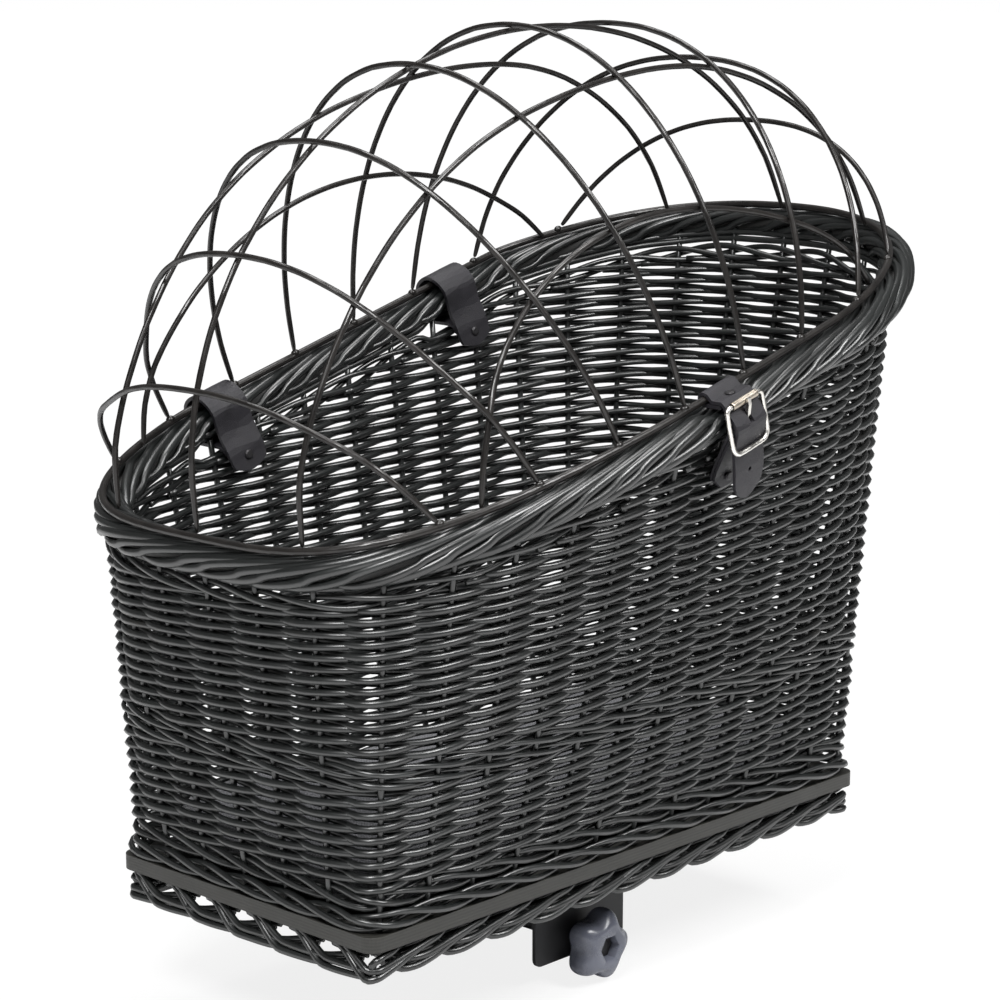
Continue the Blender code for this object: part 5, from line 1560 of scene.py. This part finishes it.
@dataclass
class Cushion:
    """The loose cushion: a crowned form drawn in between its corners, with a piped seam."""

    seed: int = 3
    stations: int = 240
    half_x: float = 0.1987
    half_y: float = 0.0912
    corner: float = 0.030
    height: float = 0.042
    base: float = 0.0299
    draw_in: float = 0.006
    piping: float = 0.0019
    piping_reach: float = 0.988
    piping_out: float = 0.0004
    seam: float = 0.45
    seam_pull: float = 0.0012
    seam_width: float = 0.16
    crease_waver: Waver = Waver(0.5, 7, 34.0)
    fine_waver: Waver = Waver(0.3, 6, 60.0)
    crease: float = 0.0011
    crease_width: float = 0.30
    crease_span: Span = (0.6, 0.95)
    sag_waver: Waver = Waver(0.05, 3, 4.0)
    sag_span: Span = (0.0, 0.9)
    least_puff: float = 0.9
    rim_reach: float = 0.8
    side_facing: Span = (0.7, 1.0)
    lift: float = 0.0002
    section_step: float = 0.028

    def section(self) -> Array:
        """Profile of the cushion from the middle below, over the seam, to the middle above.

        Returns:
            Rows of the share of the outline reached and the share of the height.
        """
        levels = ((0.02, 0.02), (0.30, 0.0), (0.60, 0.0), (0.86, 0.01), (0.955, 0.08), (0.990, 0.26),
                  (0.985, self.seam), (0.988, 0.60), (0.950, 0.76), (0.84, 0.87), (0.66, 0.94),
                  (0.42, 0.98), (0.20, 1.0), (0.02, 1.0))
        return flowing(np.array(levels), self.section_step)

    def plan(self) -> tuple[Array, Array]:
        """Outline of the cushion at even steps, its sides drawn in by a square law.

        Returns:
            The outline and its outward normals.
        """
        edge = Wall(half_x=self.half_x, half_y=self.half_y, corner=self.corner)
        row = edge.edges(np.arange(self.stations) / self.stations)
        points, normal = row[:, :2], row[:, 2:4]
        law = 1 - (np.abs(points) / np.array((self.half_x, self.half_y))) ** 2
        pull = law * smooth_step(np.abs(normal[:, ::-1]), *self.side_facing)
        return points - normal * (self.draw_in * pull.sum(axis=1, keepdims=True)), normal

    def build(self) -> None:
        """Make the cover as rings carried on its outline, creased at the seam, then the piping.

        The creases and the seam's pull fall off as a bell curve of the level,
        and the top sags by a slow random line towards its edge.
        """
        rng = np.random.default_rng(self.seed)
        outline, normal = self.plan()
        angle = np.arange(self.stations) / self.stations
        creases = self.crease_waver.line(angle, rng) + self.fine_waver.line(angle, rng)
        sag = 1 - self.sag_waver.line(angle, rng)
        rings = self.section()
        reach, level = rings[:, :1], rings[:, 1:]
        from_seam = level - self.seam
        pull = self.seam_pull * np.exp(-(from_seam / self.seam_width) ** 2)
        pull = pull * (reach > self.rim_reach)
        ripple = creases * self.crease * np.exp(-(from_seam / self.crease_width) ** 2)
        ripple = ripple * smooth_step(reach, *self.crease_span)
        spread = reach[..., None] * outline + (ripple - pull)[..., None] * normal
        outer = smooth_step(reach, *self.sag_span)
        puff = np.where(level > 0.5, sag * outer + 1 - outer, 1.0)
        puff = np.clip(puff, self.least_puff, 1.0)
        height = self.base + self.lift + level * (self.height - 5 * self.lift) * puff
        grid = np.concatenate((spread, height[..., None]), axis=-1)
        mesh = Mesh()
        mesh.add(grid, grid[..., :2], 0.5, caps=True)
        cover = mesh.piece("cushion_cover", Finish.CANVAS.material(), "basket",
                           ("cushion",))
        cord = Mesh()
        line = outline * self.piping_reach + normal * self.piping_out
        ring = np.column_stack((line, np.full(self.stations, self.base + self.seam * self.height)))
        outward = np.column_stack((normal, np.zeros(self.stations)))
        rod(cord, ring, self.piping, outward, 0.6, sides=10, closed=True)
        cord.piece("cushion_piping", Finish.CANVAS.material(), "basket")


# The studio


@dataclass(frozen=True)
class Lamp:
    """A square soft lamp that faces the basket."""

    name: str
    place: Triple
    size: float
    power: float
    aim: Triple = (0.0, 0.0, 0.25)

    def build(self) -> None:
        """Hang the lamp."""
        light = bpy.data.lights.new(self.name, "AREA")
        light.size = self.size
        light.energy = self.power
        made = bpy.data.objects.new(self.name, light)
        made.location = self.place
        sight = Vector(self.aim) - Vector(self.place)
        made.rotation_euler = sight.to_track_quat("-Z", "Y").to_euler()
        bpy.context.scene.collection.objects.link(made)


@dataclass(frozen=True)
class Studio:
    """A pale floor, soft lamps and the camera at the photograph's place."""

    floor_height: float = -0.0605
    floor_half: float = 30.0
    floor_colour: Triple = (0.80, 0.80, 0.80)
    floor_rough: float = 0.9
    glow: float = 1.03
    fade: Span = (0.82, 1.0)
    cover: Span = (0.5, 1.5)
    world_light: float = 0.14
    lamps: tuple[Lamp, ...] = (
        Lamp("left_lamp", (-1.9, -0.9, 2.4), 0.9, 88.0),
        Lamp("right_lamp", (0.4, -2.0, 2.4), 1.0, 80.0),
        Lamp("top_lamp", (0.3, 0.5, 2.7), 1.4, 52.0))
    camera_place: Triple = (-1.1450, -1.0876, 0.5312)
    camera_turn: Triple = (math.radians(78.89), 0.0, math.radians(-46.35))
    lens: float = 97.5
    sensor: float = 36.0
    sight: float = 200.0

    def floor_material(self) -> bpy.types.Material:
        """A pale stuff that shows white to the camera and keeps a faint shadow near the basket.

        Returns:
            The material.
        """
        material, nodes, shader = start_material("pale_floor")
        nodes.feed(shader, {"Base Color": rgb(self.floor_colour), "Roughness": self.floor_rough})
        white = nodes.add("ShaderNodeEmission", {"Color": rgb(WHITE), "Strength": self.glow})
        distance = nodes.add("ShaderNodeVectorMath", {0: nodes.place()}, operation="LENGTH")
        cover = nodes.spread(distance.outputs["Value"], *self.fade, *self.cover)
        share = nodes.maths("MULTIPLY", nodes.shown(), cover)
        mix = nodes.add("ShaderNodeMixShader", {
            0: share, 1: shader.outputs[0], 2: white.outputs[0]})
        nodes.feed(nodes.tree.nodes["Material Output"], {"Surface": mix.outputs[0]})
        return material

    def floor(self) -> None:
        """A wide flat sheet under the basket."""
        mesh = bpy.data.meshes.new("studio_floor")
        half = self.floor_half
        signs = ((-1, -1), (1, -1), (1, 1), (-1, 1))
        corners = [(x * half, y * half, self.floor_height) for x, y in signs]
        mesh.from_pydata(corners, [], [(0, 1, 2, 3)])
        mesh.materials.append(self.floor_material())
        ground = bpy.data.objects.new("studio_floor", mesh)
        bpy.context.scene.collection.objects.link(ground)

    def world(self) -> None:
        """Even pale surroundings that show white to the camera."""
        world = bpy.data.worlds.new("studio_world")
        world.use_nodes = True
        bpy.context.scene.world = world
        nodes = Nodes(world.node_tree)
        strength = nodes.spread(nodes.shown(), self.world_light, 1.0)
        back = world.node_tree.nodes["Background"]
        nodes.feed(back, {"Color": rgb(WHITE), "Strength": strength})

    def camera(self) -> None:
        """The camera at the photograph's view."""
        data = bpy.data.cameras.new("camera")
        data.lens = self.lens
        data.sensor_width = self.sensor
        data.clip_end = self.sight
        camera = bpy.data.objects.new("camera", data)
        camera.location = self.camera_place
        camera.rotation_euler = Euler(self.camera_turn)
        bpy.context.scene.collection.objects.link(camera)
        bpy.context.scene.camera = camera

    def build(self) -> None:
        """Set up floor, lamps, surroundings and camera."""
        self.floor()
        self.world()
        for lamp in self.lamps:
            lamp.build()
        self.camera()
        bpy.context.scene.view_settings.view_transform = "Standard"


def main() -> None:
    """Build every sub-assembly in order and set up the studio."""
    logging.basicConfig(level=logging.INFO, format="%(name)s %(message)s")
    WovenWall(Wall()).build()
    PlaitedBorder().build()
    FootBorder().build()
    Board().build()
    LidWires().build()
    Straps().build()
    Buckle().build()
    Clamp().build()
    Cushion().build()
    Studio().build()


if __name__ == "__main__":
    main()
